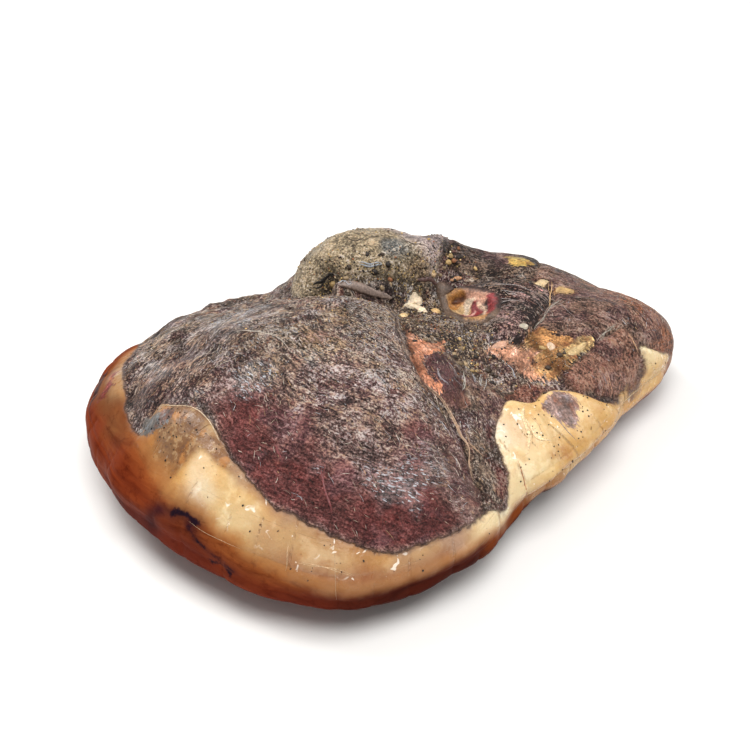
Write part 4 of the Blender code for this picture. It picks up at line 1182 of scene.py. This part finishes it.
# directions of the fibres: place and degrees from +X
fibreFlow = np.array([(-10.4, 10.0, 20), (-7.7, 8.7, 9), (-5.3, 9.2, 3), (-11.9, 3.4, 9), (-1.9, 6.0, -71),
                      (-3.6, 7.3, -34), (-7.6, 1.9, -97), (-5.1, -1.4, -97), (0.6, 0.1, -106),
                      (-1.7, -7.2, -98), (-9.6, -5.6, -97), (-11.4, -3.3, -98), (-11.7, -1.3, -101),
                      (-8.8, -9.0, -75), (-5.2, -11.2, -26), (-7.7, -11.2, -47), (-3.7, -11.8, -6),
                      (-10.9, -7.6, -77), (-1.1, -9.8, -106), (2.5, -6.2, -104), (7.9, 3.2, -21),
                      (9.7, 1.5, -53), (9.6, -1.6, -97), (13.0, -3.0, -65), (14.7, -4.9, -104),
                      (10.8, -3.0, -83), (10.3, -6.5, -101), (8.2, -6.3, -106), (2.5, -5.1, -106),
                      (0.9, -3.9, -97), (13.8, 1.7, -65), (10.8, 3.9, -58), (2.2, 6.6, -26), (1.2, 5.1, -42)])


def flowAt(x, y):
    # each place counts by one over its distance cubed, with angles doubled so that a fibre has no front
    weight = (np.hypot(x[..., None] - fibreFlow[:, 0], y[..., None] - fibreFlow[:, 1]) + 0.3) ** -3
    turn = np.radians(2 * fibreFlow[:, 2])
    return 0.5 * np.arctan2((weight * np.sin(turn)).sum(-1), (weight * np.cos(turn)).sum(-1))


driedFibres = dict(
    count=9000, length=(0.15, 0.70), lengthPower=1.6, halfWidth=(0.010, 0.022), steps=4, stray=0.55, bend=0.6,
    seed=201,
    palette=[(4, (0.36, 0.27, 0.20)), (2.5, (0.56, 0.48, 0.40)), (1, (0.42, 0.25, 0.12)),
             (1.5, (0.36, 0.36, 0.38)), (7, (0.022, 0.012, 0.010)), (3, (0.11, 0.034, 0.030))],
)


def makeFibres(values):
    # dried strands on the lean, laid along the flow and bent a little
    chance = np.random.default_rng(values["seed"])
    paint = upperPaint
    density = soften(upperMaps["leanDepth"], 0.25, 0.6) * (0.35 + 0.9 * paint["bloom"])
    density *= (1 - 0.85 * paint["wine"]) * (0.3 + 0.7 * paint["pale"])
    density *= (1 - soften(upperMaps["knob"], -0.4, 0.1)) * (1 - soften(paint["areaDepth"], -0.3, 0.0))
    density *= 0.15 + soften(crags(upper, 1.6, 203), -0.3, 0.7)
    starts = scatter(values["count"], density, chance)
    count, steps = values["count"], values["steps"]
    shortest, longest = values["length"]
    length = chance.uniform(0, 1, count) ** values["lengthPower"] * (longest - shortest) + shortest
    turn = flowAt(starts[:, 0], starts[:, 1]) + chance.normal(0, values["stray"], count)
    bend = chance.normal(0, values["bend"], count)
    share = np.linspace(-0.5, 0.5, steps)
    way = turn[:, None] + bend[:, None] * share
    step = (length / (steps - 1))[:, None]
    x = starts[:, :1] + np.cumsum(np.cos(way) * step, axis=1)
    y = starts[:, 1:] + np.cumsum(np.sin(way) * step, axis=1)
    half = chance.uniform(*values["halfWidth"], count)
    points, faces = cords(np.stack([x, y], axis=-1), half, half * 0.7, 0.002, 3)
    tints = np.repeat(tinted(values["palette"], count, chance), len(points) // count, axis=0)
    finishPiece("driedFibres", points, faces, tints,
                tintedFinish("driedFibre", rough=0.45, specular=0.45, mottle=3.0, bump=0.3), "cured_lean")


makeFibres(driedFibres)

# cords and lines: plan route, number of threads, how far they spread, half width, half height, lift, colour
silver, paleCord, yellowCord = (0.34, 0.31, 0.26), (0.40, 0.26, 0.17), (0.50, 0.31, 0.15)
darkLine, bluish, wineLine = (0.022, 0.012, 0.010), (0.48, 0.49, 0.53), (0.16, 0.035, 0.035)
sinews = dict(
    mainSinew=([(-1.1, -4.3), (-0.9, -5.1), (-0.6, -5.8), (-0.6, -6.7), (-0.7, -7.3), (-0.8, -7.8),
                (-0.75, -8.5), (-1.1, -9.1), (-1.3, -9.7), (-1.5, -10.5), (-1.7, -10.9)], 4, 0.09, 0.026,
                0.024, 0.005, paleCord),
    lowBranch=([(-0.8, -7.9), (-0.7, -8.3), (-0.4, -8.7), (-0.1, -9.1)], 2, 0.05, 0.020, 0.02, 0.005,
               paleCord),
    threadRight=([(-0.3, -7.4), (-0.4, -7.9), (-0.5, -8.4), (-0.2, -8.9)], 2, 0.04, 0.025, 0.02, 0.01,
                 paleCord),
    seamDark=([(1.7, 2.7), (1.1, 1.4), (0.1, -0.5), (-0.7, -2.2), (-1.2, -3.4), (-1.3, -4.0)], 5, 0.12,
              0.035, 0.02, 0.0, darkLine),
    seamPale=([(2.0, 2.9), (1.0, 1.0), (0.0, -0.9), (-0.9, -2.9), (-1.1, -4.1)], 2, 0.10, 0.018, 0.015, 0.01,
              (0.36, 0.25, 0.19)),
    shankTop=([(8.4, -2.2), (9.0, -1.9), (9.5, -1.8), (10.4, -1.2), (11.0, -0.9), (11.8, -0.9),
               (12.4, -0.8)], 4, 0.12, 0.024, 0.02, 0.005, silver),
    shankTopDark=([(8.2, -2.0), (9.2, -1.6), (10.2, -0.9), (11.2, -0.5), (12.4, -0.4)], 2, 0.06, 0.05, 0.02,
                  0.0, darkLine),
    flakeTop=([(10.6, -1.0), (11.3, -0.4), (12.0, 0.5), (12.6, 1.2)], 2, 0.08, 0.03, 0.02, 0.01, yellowCord),
    discTop=([(13.4, -4.2), (12.9, -4.3), (12.3, -4.4), (11.8, -4.6), (11.3, -4.7)], 4, 0.09, 0.022, 0.02,
             0.005, silver),
    discLeft=([(11.3, -4.7), (10.7, -4.6), (10.0, -4.4), (9.4, -4.5)], 2, 0.06, 0.035, 0.03, 0.01,
              yellowCord),
    discLine=([(10.8, -6.2), (10.6, -6.9), (10.5, -7.4)], 1, 0.0, 0.022, 0.02, 0.0, (0.42, 0.24, 0.15)),
    tipFascia=([(13.6, -4.9), (13.4, -5.5), (13.4, -6.0)], 2, 0.06, 0.028, 0.02, 0.005, (0.50, 0.30, 0.17)),
    sideCord=([(16.8, -5.4), (15.0, -6.3), (13.5, -6.7), (12.9, -6.9), (11.2, -7.7), (9.8, -8.3)], 1, 0.0,
              0.035, 0.03, 0.0, (0.62, 0.44, 0.24)),
    foldA=([(3.5, -7.7), (3.3, -8.2), (3.4, -8.6), (3.0, -9.2)], 2, 0.05, 0.020, 0.012, 0.0,
           (0.44, 0.27, 0.13)),
    foldB=([(4.0, -7.7), (4.0, -8.3), (4.0, -8.8), (4.5, -9.0)], 2, 0.05, 0.018, 0.012, 0.0,
           (0.46, 0.29, 0.15)),
    ridgeA=([(4.0, -7.2), (3.5, -7.7), (3.4, -8.2), (3.2, -8.7), (2.6, -9.3)], 1, 0.0, 0.14, 0.06, 0.0,
            (0.78, 0.58, 0.34)),
    ridgeB=([(3.6, -7.8), (3.6, -8.4), (3.6, -8.9), (4.2, -9.2)], 1, 0.0, 0.10, 0.05, 0.0,
            (0.78, 0.58, 0.34)),
    lowFold=([(1.7, -9.6), (1.6, -10.2), (1.6, -10.6), (2.0, -10.8), (2.7, -10.9)], 1, 0.0, 0.035, 0.02, 0.0,
             (0.34, 0.13, 0.06)),
    greyLine=([(5.2, -7.5), (5.5, -8.2), (5.6, -8.9), (5.8, -9.4)], 2, 0.04, 0.025, 0.02, 0.0,
              (0.30, 0.22, 0.19)),
    # a pale cord that stands for a glint: painted highlight
    whiteGlint=([(5.7, -3.2), (5.7, -4.0), (5.5, -4.5), (5.6, -4.9)], 2, 0.04, 0.024, 0.02, 0.01,
                (0.40, 0.40, 0.43)),
    # pale loops that stand for glints in the valley: painted highlights
    valleyGlint=([(4.0, -3.4), (2.9, -4.6), (2.3, -5.6)], 2, 0.06, 0.025, 0.02, 0.01, (0.42, 0.41, 0.40)),
    valleyGlintTwo=([(4.0, -3.8), (3.1, -4.9), (2.3, -5.7)], 1, 0.0, 0.025, 0.02, 0.01, (0.48, 0.47, 0.46)),
    valleyThread=([(2.4, -3.7), (1.8, -4.7), (1.4, -5.1), (0.7, -5.7)], 3, 0.08, 0.022, 0.02, 0.01,
                  (0.46, 0.44, 0.38)),
    valleyThreadTwo=([(3.4, -3.1), (2.9, -4.0), (2.3, -5.0)], 2, 0.06, 0.022, 0.02, 0.01, bluish),
    lobeLine=([(0.3, -3.9), (0.0, -4.8), (0.1, -5.5)], 3, 0.07, 0.013, 0.012, 0.005, (0.34, 0.31, 0.33)),
    lobeLineTwo=([(1.2, -3.3), (1.3, -4.2), (1.0, -5.0)], 2, 0.07, 0.013, 0.012, 0.005, (0.32, 0.27, 0.27)),
    ridgeLine=([(-7.9, 4.3), (-7.3, 3.2), (-6.9, 2.0), (-6.7, 0.7), (-6.9, -0.5)], 4, 0.08, 0.018, 0.018,
               0.005, (0.46, 0.40, 0.34)),
    lobeBorder=([(-14.8, 2.7), (-13.6, 2.9), (-13.1, 1.8), (-12.6, 0.6), (-12.45, -0.9), (-12.65, -2.4)], 2,
                0.05, 0.026, 0.03, 0.01, (0.70, 0.55, 0.38)),
    redOne=([(-9.1, -7.0), (-9.4, -7.4), (-9.7, -8.0), (-9.9, -8.7), (-10.1, -9.3)], 3, 0.08, 0.045, 0.02,
            0.0, wineLine),
    redTwo=([(-10.6, -4.6), (-10.7, -5.1), (-10.9, -5.8)], 2, 0.06, 0.045, 0.02, 0.0, wineLine),
    # dark ribbons that stand for cracks in the knob, with the shade inside them painted
    knobCrack=([(2.5, 8.3), (2.7, 7.8), (3.2, 7.9), (3.5, 8.0)], 1, 0.0, 0.05, 0.012, 0.0, darkLine),
    knobEdge=([(5.4, 7.6), (5.6, 6.3), (6.4, 5.7), (6.5, 5.0)], 2, 0.08, 0.035, 0.012, 0.0, darkLine),
    # a near black cord in the pocket: painted shade
    pocketShade=([(-0.5, 7.8), (0.0, 7.5), (0.6, 7.4), (0.9, 7.0)], 2, 0.06, 0.10, 0.02, 0.0,
                (0.010, 0.008, 0.007)),
    strip=([(0.2, 6.1), (0.8, 5.75), (1.5, 5.35), (2.3, 4.95), (3.3, 4.6)], 1, 0.0, 0.32, 0.15, -0.03,
           (0.225, 0.165, 0.138)),
    # bluish cords that stand for a glint on the strip: painted highlight
    stripGlint=([(0.3, 6.15), (0.6, 5.95), (1.1, 5.7)], 3, 0.09, 0.030, 0.02, 0.12, bluish),
    netAcross=([(-15.4, -3.6), (-15.1, -4.6), (-14.6, -5.8), (-14.1, -6.8)], 1, 0.0, 0.011, 0.010, 0.002,
               (0.56, 0.38, 0.22)),
    netAlong=([(-12.6, -9.0), (-11.8, -9.9), (-10.9, -10.8), (-10.0, -11.5)], 2, 0.04, 0.014, 0.012, 0.004,
              (0.62, 0.45, 0.28)),
    netDown=([(-12.2, -8.4), (-12.6, -8.8), (-12.9, -9.1)], 2, 0.06, 0.012, 0.010, 0.004, (0.60, 0.43, 0.27)),
    netDownTwo=([(-10.6, -10.3), (-10.9, -10.8), (-11.2, -11.3)], 1, 0.0, 0.012, 0.010, 0.004,
                (0.56, 0.40, 0.25)),
    blueBit=([(1.9, 6.6), (2.5, 6.3), (3.4, 5.9)], 2, 0.08, 0.06, 0.04, 0.0, (0.28, 0.30, 0.33)),
    darkLobe=([(5.2, 5.0), (5.9, 4.8), (6.6, 4.5)], 1, 0.0, 0.16, 0.10, 0.0, (0.11, 0.060, 0.052)),
    orangeBlob=([(7.3, 4.35), (7.7, 4.3), (8.1, 4.2)], 1, 0.0, 0.16, 0.12, 0.0, (0.48, 0.25, 0.13)),
)
fanThreads = dict(
    pole=(6.3, -1.1), radius=(2.7, 5.4), degrees=(-12, 78), span=(12, 45), count=70, halfWidth=(0.008, 0.024),
    palette=[(2.5, (0.20, 0.160, 0.150)), (1.2, (0.40, 0.36, 0.35)), (6, (0.015, 0.010, 0.010)),
             (1, (0.24, 0.12, 0.09))], seed=215,
)


threadWays = dict(seed=211, steps=30, latestStart=0.25, sway=0.8, size=(0.6, 1.1), shade=(0.75, 1.2))


def makeSinews(values):
    # each thread of a sinew starts and stops at its own place and wanders to either side
    chance = np.random.default_rng(values["seed"])
    parts, steps, late = [], values["steps"], values["latestStart"]
    for route, threads, spread, halfWidth, halfHeight, lift, colour in sinews.values():
        smooth = smoothRoute(route, False, 8)
        run = runAlong(smooth)
        for _ in range(threads):
            ends = np.sort(chance.uniform(0, 1, 2)) * late + np.array([0, 1 - late])
            share = np.linspace(ends[0], ends[1], steps) if threads > 1 else np.linspace(0, 1, steps)
            x, y = (np.interp(share * run[-1], run, smooth[:, k]) for k in (0, 1))
            phase = chance.uniform(0, fullTurn, 3)
            sway = sum(np.sin(share * (3 + 4 * k) + phase[k]) / (1 + k) for k in range(3))
            sway = sway * spread * values["sway"]
            ahead = np.stack([np.gradient(x), np.gradient(y)])
            ahead /= np.linalg.norm(ahead, axis=0)
            path = np.stack([x - ahead[1] * sway, y + ahead[0] * sway], axis=-1)[None]
            size = chance.uniform(*values["size"]) if threads > 1 else 1.0
            points, faces = cords(path, np.array([halfWidth * size]), np.array([halfHeight * size]), lift, 6)
            tint = np.clip(np.array(colour) * chance.uniform(*values["shade"]), 0, 1)
            parts.append((points, faces, np.tile(tint, (len(points), 1))))
    finishPiece("sinews", *joined(parts),
                tintedFinish("sinew", rough=0.40, specular=0.4, mottle=2.5, bump=0.3), "fat")


makeSinews(threadWays)


def makeFanThreads(values):
    # arcs round the pole of the fan muscle: the angle runs over its span while the radius drifts a little
    chance = np.random.default_rng(values["seed"])
    count = values["count"]
    middle = np.radians(chance.uniform(*values["degrees"], count))
    span = np.radians(chance.uniform(*values["span"], count))
    radius = chance.uniform(*values["radius"], count)
    share = np.linspace(-0.5, 0.5, 12)
    way = middle[:, None] + span[:, None] * share
    reach = radius[:, None] + chance.normal(0, 0.15, (count, 1)) * share
    reach = reach + 0.06 * np.sin(9 * share + radius[:, None] * 7)
    routes = values["pole"] + reach[..., None] * np.stack([np.cos(way), np.sin(way)], axis=-1)
    half = chance.uniform(*values["halfWidth"], count)
    points, faces = cords(routes, half, half * 0.7, 0.004, 4)
    tints = np.repeat(tinted(values["palette"], count, chance), len(points) // count, axis=0)
    finishPiece("fanThreads", points, faces, tints,
                tintedFinish("fanThread", rough=0.40, specular=0.45, mottle=2.5, bump=0.3), "cured_lean")


makeFanThreads(fanThreads)

# the sawn-out bone's place: its outline, and areas inside it, each with an outline, a colour and a rise
socket = dict(
    outline=[(6.05, 4.35), (6.7, 4.2), (7.1, 3.75), (7.5, 3.45), (7.95, 3.1), (8.35, 2.6), (8.6, 2.05),
             (8.75, 1.6), (8.6, 1.0), (7.95, 0.35), (7.2, -0.25), (6.7, -0.05), (6.3, 0.3), (5.9, 0.6),
             (5.5, 1.1), (5.4, 1.7), (5.45, 2.4), (5.7, 3.3)],
    shift=(0.30, 0.20),
    plain=(0.135, 0.090, 0.066),
    byFan=(0.060, 0.038, 0.034),
    areas=[
        ([(5.8, 1.6), (5.9, 2.4), (6.1, 3.2), (6.5, 3.7), (7.2, 3.4), (7.7, 2.9), (7.3, 2.2), (6.4, 1.6)],
         (0.52, 0.34, 0.17), -0.05),
        ([(7.2, 3.3), (7.8, 3.0), (8.4, 2.2), (8.3, 1.7), (7.8, 2.1), (7.4, 2.6), (7.0, 2.8)],
         (0.50, 0.27, 0.19), 0.03),
        ([(6.0, 3.0), (6.3, 3.5), (6.9, 3.6), (7.4, 3.2), (7.3, 2.8), (6.7, 2.8), (6.3, 2.6)],
         (0.30, 0.13, 0.035), -0.07),
        # a dark slot: painted shade in the opening
        ([(6.4, 3.2), (6.9, 3.4), (7.35, 3.1), (7.3, 2.85), (6.9, 2.95)], (0.07, 0.022, 0.008), -0.10),
        ([(7.2, 2.75), (7.5, 2.8), (7.8, 2.5), (7.4, 2.35), (6.6, 1.95), (5.9, 1.6), (6.0, 1.8), (6.6, 2.2)],
         (0.58, 0.46, 0.34), 0.05),
        ([(5.7, 1.5), (6.2, 1.7), (6.9, 1.95), (7.5, 2.4), (7.9, 2.1), (7.7, 1.45), (6.9, 1.05), (6.2, 1.0),
          (5.7, 1.2)],
         (0.165, 0.020, 0.022), 0.02),
        ([(6.0, 1.3), (6.7, 1.45), (7.3, 1.85), (7.2, 1.9), (6.6, 1.6), (6.1, 1.5)], (0.50, 0.28, 0.24),
         0.04),
        ([(8.3, 2.0), (8.6, 1.4), (7.9, 0.6), (7.2, 0.1), (6.9, 0.3), (7.4, 0.8), (8.0, 1.4)],
         (0.21, 0.036, 0.038), 0.0),
        ([(7.7, 2.2), (7.95, 1.9), (7.85, 1.3), (7.5, 0.9), (7.1, 0.5), (7.35, 1.0), (7.65, 1.5)],
         (0.50, 0.34, 0.24), 0.05),
        ([(5.7, 1.0), (6.2, 0.8), (6.8, 0.65), (7.3, 0.4), (7.0, 0.15), (6.5, 0.35), (6.0, 0.7)],
         (0.38, 0.20, 0.085), 0.06),
    ],
)


def makeSocket(values):
    # the rim turns down into the ham; each area paints itself over the ones before it and adds its own rise
    rim = np.add(values["outline"], values["shift"])
    areas = [(np.add(outline, values["shift"]), colour, rise) for outline, colour, rise in values["areas"]]

    def heightOf(x, y, reach):
        height = 0.36 * dome(1 - reach, 0.22) - 0.08
        for outline, _, rise in areas:
            height = height + rise * soften(depthInside(x, y, outline), -0.06, 0.10)
        return height + 0.02 * dome(1 - reach, 0.3) * crags(np.stack([x, y], axis=-1), 0.5, 261)

    x, y, own, points, faces = patchOver(rim, 72, heightOf, 0.5)
    plan = np.stack([x, y], axis=-1)
    tint = np.zeros((*x.shape, 3)) + values["plain"]
    tint = paintInto(tint, values["byFan"], soften(x + 0.4 * y, 8.1, 9.0))
    wanderX, wanderY = wandering(x, y, plan, 0.11, 0.5, 262)
    for outline, colour, _ in areas:
        tint = paintInto(tint, colour, soften(depthInside(wanderX, wanderY, outline), -0.09, 0.09))
    tint = tint * np.exp(0.35 * crags(plan, 0.45, 264) - 0.1)[..., None]
    finishPiece("boneSocket", points, faces, stacked(tint, tint, own),
                tintedFinish("socket", rough=0.42, specular=0.25, mottle=2.8, bump=0.4, scatter=0.1), "fat")


makeSocket(socket)

# scattered pieces: number, smallest and largest size, thickness, lift, unevenness, finish and colours
scattered = dict(
    pepper=dict(count=300, size=(0.04, 0.14), thickness=0.8, lift=0.12, rough=0.3, seed=221, slot="pepper",
                palette=[(3, (0.015, 0.011, 0.009)), (1, (0.05, 0.026, 0.014)), (0.6, (0.12, 0.05, 0.02))]),
    spice=dict(count=3000, size=(0.04, 0.15), thickness=0.7, lift=0.12, rough=0.3, seed=231, slot="spice",
               palette=[(1.6, (0.42, 0.28, 0.11)), (2.5, (0.28, 0.20, 0.14)), (0.5, (0.58, 0.46, 0.30)),
                        (3, (0.055, 0.036, 0.025)), (3.5, (0.014, 0.011, 0.010)), (1.0, (0.18, 0.13, 0.07)),
                        (0.8, (0.22, 0.08, 0.035))]),
    crumbs=dict(count=90, size=(0.22, 0.48), thickness=0.6, lift=0.05, rough=0.25, seed=241, slot="spice",
                palette=[(1.4, (0.24, 0.17, 0.10)), (0.7, (0.42, 0.28, 0.12)), (3, (0.05, 0.032, 0.02)),
                         (2, (0.018, 0.013, 0.011)), (0.7, (0.24, 0.10, 0.045))]),
)


def makeScattered(name, density, power=1.8):
    # more small ones than large: the size goes with chance to a power
    values = scattered[name]
    chance = np.random.default_rng(values["seed"])
    places = scatter(values["count"], density, chance)
    low, high = values["size"]
    sizes = low + (high - low) * chance.random(values["count"]) ** power
    points, faces = stones(places, sizes, values["thickness"], values["lift"], values["rough"], chance)
    tints = np.repeat(tinted(values["palette"], values["count"], chance, 0.3), 12, axis=0)
    finish = tintedFinish(name + "Finish", rough=0.55, specular=0.35, mottle=2.0, bump=0.5)
    finishPiece(name, points, faces, tints, finish, values["slot"])


leanDepth, rindDepth = upperMaps["leanDepth"], upperMaps["rindDepth"]
onFat = soften(-leanDepth, 0.1, 0.4) * soften(-rindDepth, 0.0, 0.8)
makeScattered("pepper", onFat * (0.3 + spotsAt(upperMaps, "pepperOnFat")) + spotsAt(upperMaps, "pepperOnDisc")
              + 0.03 * soften(leanDepth, 0.1, 0.4))
rim = np.add(socket["outline"], socket["shift"])
offSocket = 1 - soften(depthInside(upperMaps["plan"][..., 0], upperMaps["plan"][..., 1], rim), -0.2, 0.0)
spiceMap = upperPaint["spice"] * soften(leanDepth, 0.1, 0.3) * offSocket
spiceMap = spiceMap + 0.10 * upperPaint["bloom"] + spotsAt(upperMaps, "spiceOnDisc")
makeScattered("spice", spiceMap * (1 - 0.8 * soften(upperMaps["knob"], 0.8, 2.0)))
makeScattered("crumbs", spotsAt(upperMaps, "crumbs") * offSocket, 1.2)

# chips and scraps that lie loose: outline, thickness and colour
chips = [
    ([(4.5, 4.6), (4.9, 4.7), (5.2, 4.4), (5.0, 4.0), (4.7, 3.9), (4.4, 4.1), (4.0, 4.2)], 0.22,
     (0.62, 0.50, 0.36)),
    ([(3.8, 4.3), (4.5, 4.2), (4.7, 3.7), (4.8, 3.1), (4.4, 3.1), (4.1, 3.7)], 0.20, (0.66, 0.54, 0.39)),
    ([(5.6, -2.1), (6.3, -1.9), (6.8, -2.2), (6.2, -2.5)], 0.10, (0.50, 0.29, 0.20)),
    ([(8.5, -3.6), (8.9, -3.5), (8.9, -4.0), (8.4, -4.1)], 0.06, (0.56, 0.40, 0.28)),
    ([(7.9, -1.7), (8.3, -1.6), (8.5, -1.9), (8.1, -2.1)], 0.10, (0.50, 0.44, 0.35)),
    ([(9.2, -4.7), (9.9, -4.4), (10.8, -4.5), (10.4, -4.8), (9.6, -5.0)], 0.08, (0.50, 0.36, 0.18)),
    ([(11.4, 1.3), (12.1, 1.7), (12.5, 1.2), (11.8, 1.0)], 0.09, (0.56, 0.42, 0.25)),
    ([(12.2, 0.3), (12.6, 0.5), (13.3, -0.1), (13.1, -0.4), (12.6, -0.1)], 0.08, (0.44, 0.28, 0.12)),
    ([(1.3, 6.0), (1.8, 5.9), (2.0, 5.6), (1.5, 5.6)], 0.12, (0.50, 0.36, 0.14)),
    ([(3.0, 3.6), (3.4, 3.6), (3.4, 3.2), (3.0, 3.1)], 0.12, (0.66, 0.47, 0.24)),
    ([(5.2, 3.4), (5.6, 3.3), (5.6, 2.9), (5.2, 3.0)], 0.14, (0.50, 0.32, 0.14)),
]


def makeChips():
    # each chip is a flat lens with plain facets and a ragged upper side
    parts = []
    for number, (outline, thickness, colour) in enumerate(chips):
        def heightOf(x, y, reach):
            rough = crags(np.stack([x, y], axis=-1), 0.25, 271 + number, 1)
            return np.where(reach > 0.9, -0.02, thickness * (0.75 + 0.35 * rough))

        x, y, own, points, faces = patchOver(outline, 6, heightOf, 0.08)
        mottle = 0.25 * crags(np.stack([x, y], axis=-1), 0.2, 291 + number, 1)
        shade = np.exp(mottle)[..., None] * np.array(colour)
        parts.append((points, faces, np.clip(stacked(shade, shade, own), 0, 1)))
    finish = tintedFinish("chip", rough=0.4, specular=0.4, mottle=1.5, bump=0.4, scatter=0.1)
    finishPiece("fatChips", *joined(parts), finish, "fat", smooth=False)


makeChips()

# stage, camera and light
stageValues = dict(
    floorSize=6.0, floorColour=(0.86, 0.855, 0.845), floorRoughness=0.75,
    lens=85.0, distance=1.064, azimuth=-34.0, elevation=38.0, target=(0.0020, 0.0241, 0.034),
    worldColour=(1.0, 0.995, 0.985), worldStrength=0.40, lampTarget=(0, 0, 0.04),
)
# place, size, power and colour of each lamp
lamps = dict(
    key=((-0.10, -0.40, 1.20), 0.9, 14, (1.0, 0.99, 0.97)),
    back=((-0.35, 0.75, 1.0), 0.7, 10, (1.0, 0.985, 0.96)),
    right=((1.0, -0.30, 0.60), 0.6, 3, (1.0, 0.985, 0.96)),
)


def makeFloor():
    half = stageValues["floorSize"] / 2
    corners = np.array([(-half, -half, 0), (half, -half, 0), (half, half, 0), (-half, half, 0)])
    floor = meshFrom("floor", corners, np.array([[0, 1, 2, 3]]))
    floor.data.materials.append(Graph("paleFloor").finish({
        "Base Color": stageValues["floorColour"], "Roughness": stageValues["floorRoughness"]}))


def aim(thing, target):
    # turns a lamp or camera so that it looks at the target
    away = np.array(thing.location) - np.array(target)
    flat = math.hypot(away[0], away[1])
    thing.rotation_euler = (math.atan2(flat, away[2]), 0, math.atan2(away[0], -away[1]) if flat > 1e-6 else 0)


def makeLamp(name, place, size, power, colour):
    data = bpy.data.lights.new(name, "AREA")
    data.shape = "DISK"
    data.size = size
    data.energy = power
    data.color = colour
    lamp = bpy.data.objects.new(name, data)
    lamp.location = place
    aim(lamp, stageValues["lampTarget"])
    bpy.context.scene.collection.objects.link(lamp)


def makeCamera():
    data = bpy.data.cameras.new("camera")
    data.lens = stageValues["lens"]
    data.sensor_width = 36.0
    data.sensor_fit = "HORIZONTAL"
    camera = bpy.data.objects.new("camera", data)
    turn, rise = math.radians(stageValues["azimuth"]), math.radians(stageValues["elevation"])
    back = np.array([math.sin(turn) * math.cos(rise), -math.cos(turn) * math.cos(rise), math.sin(rise)])
    camera.location = np.array(stageValues["target"]) + back * stageValues["distance"]
    aim(camera, stageValues["target"])
    bpy.context.scene.collection.objects.link(camera)
    bpy.context.scene.camera = camera


def makeLight():
    world = bpy.data.worlds.new("studio")
    world.use_nodes = True
    background = world.node_tree.nodes["Background"]
    background.inputs["Color"].default_value = (*stageValues["worldColour"], 1)
    background.inputs["Strength"].default_value = stageValues["worldStrength"]
    bpy.context.scene.world = world
    for name, values in lamps.items():
        makeLamp(name, *values)


makeFloor()
makeCamera()
makeLight()
bpy.context.scene.view_settings.view_transform = "Standard"
print("stage set")
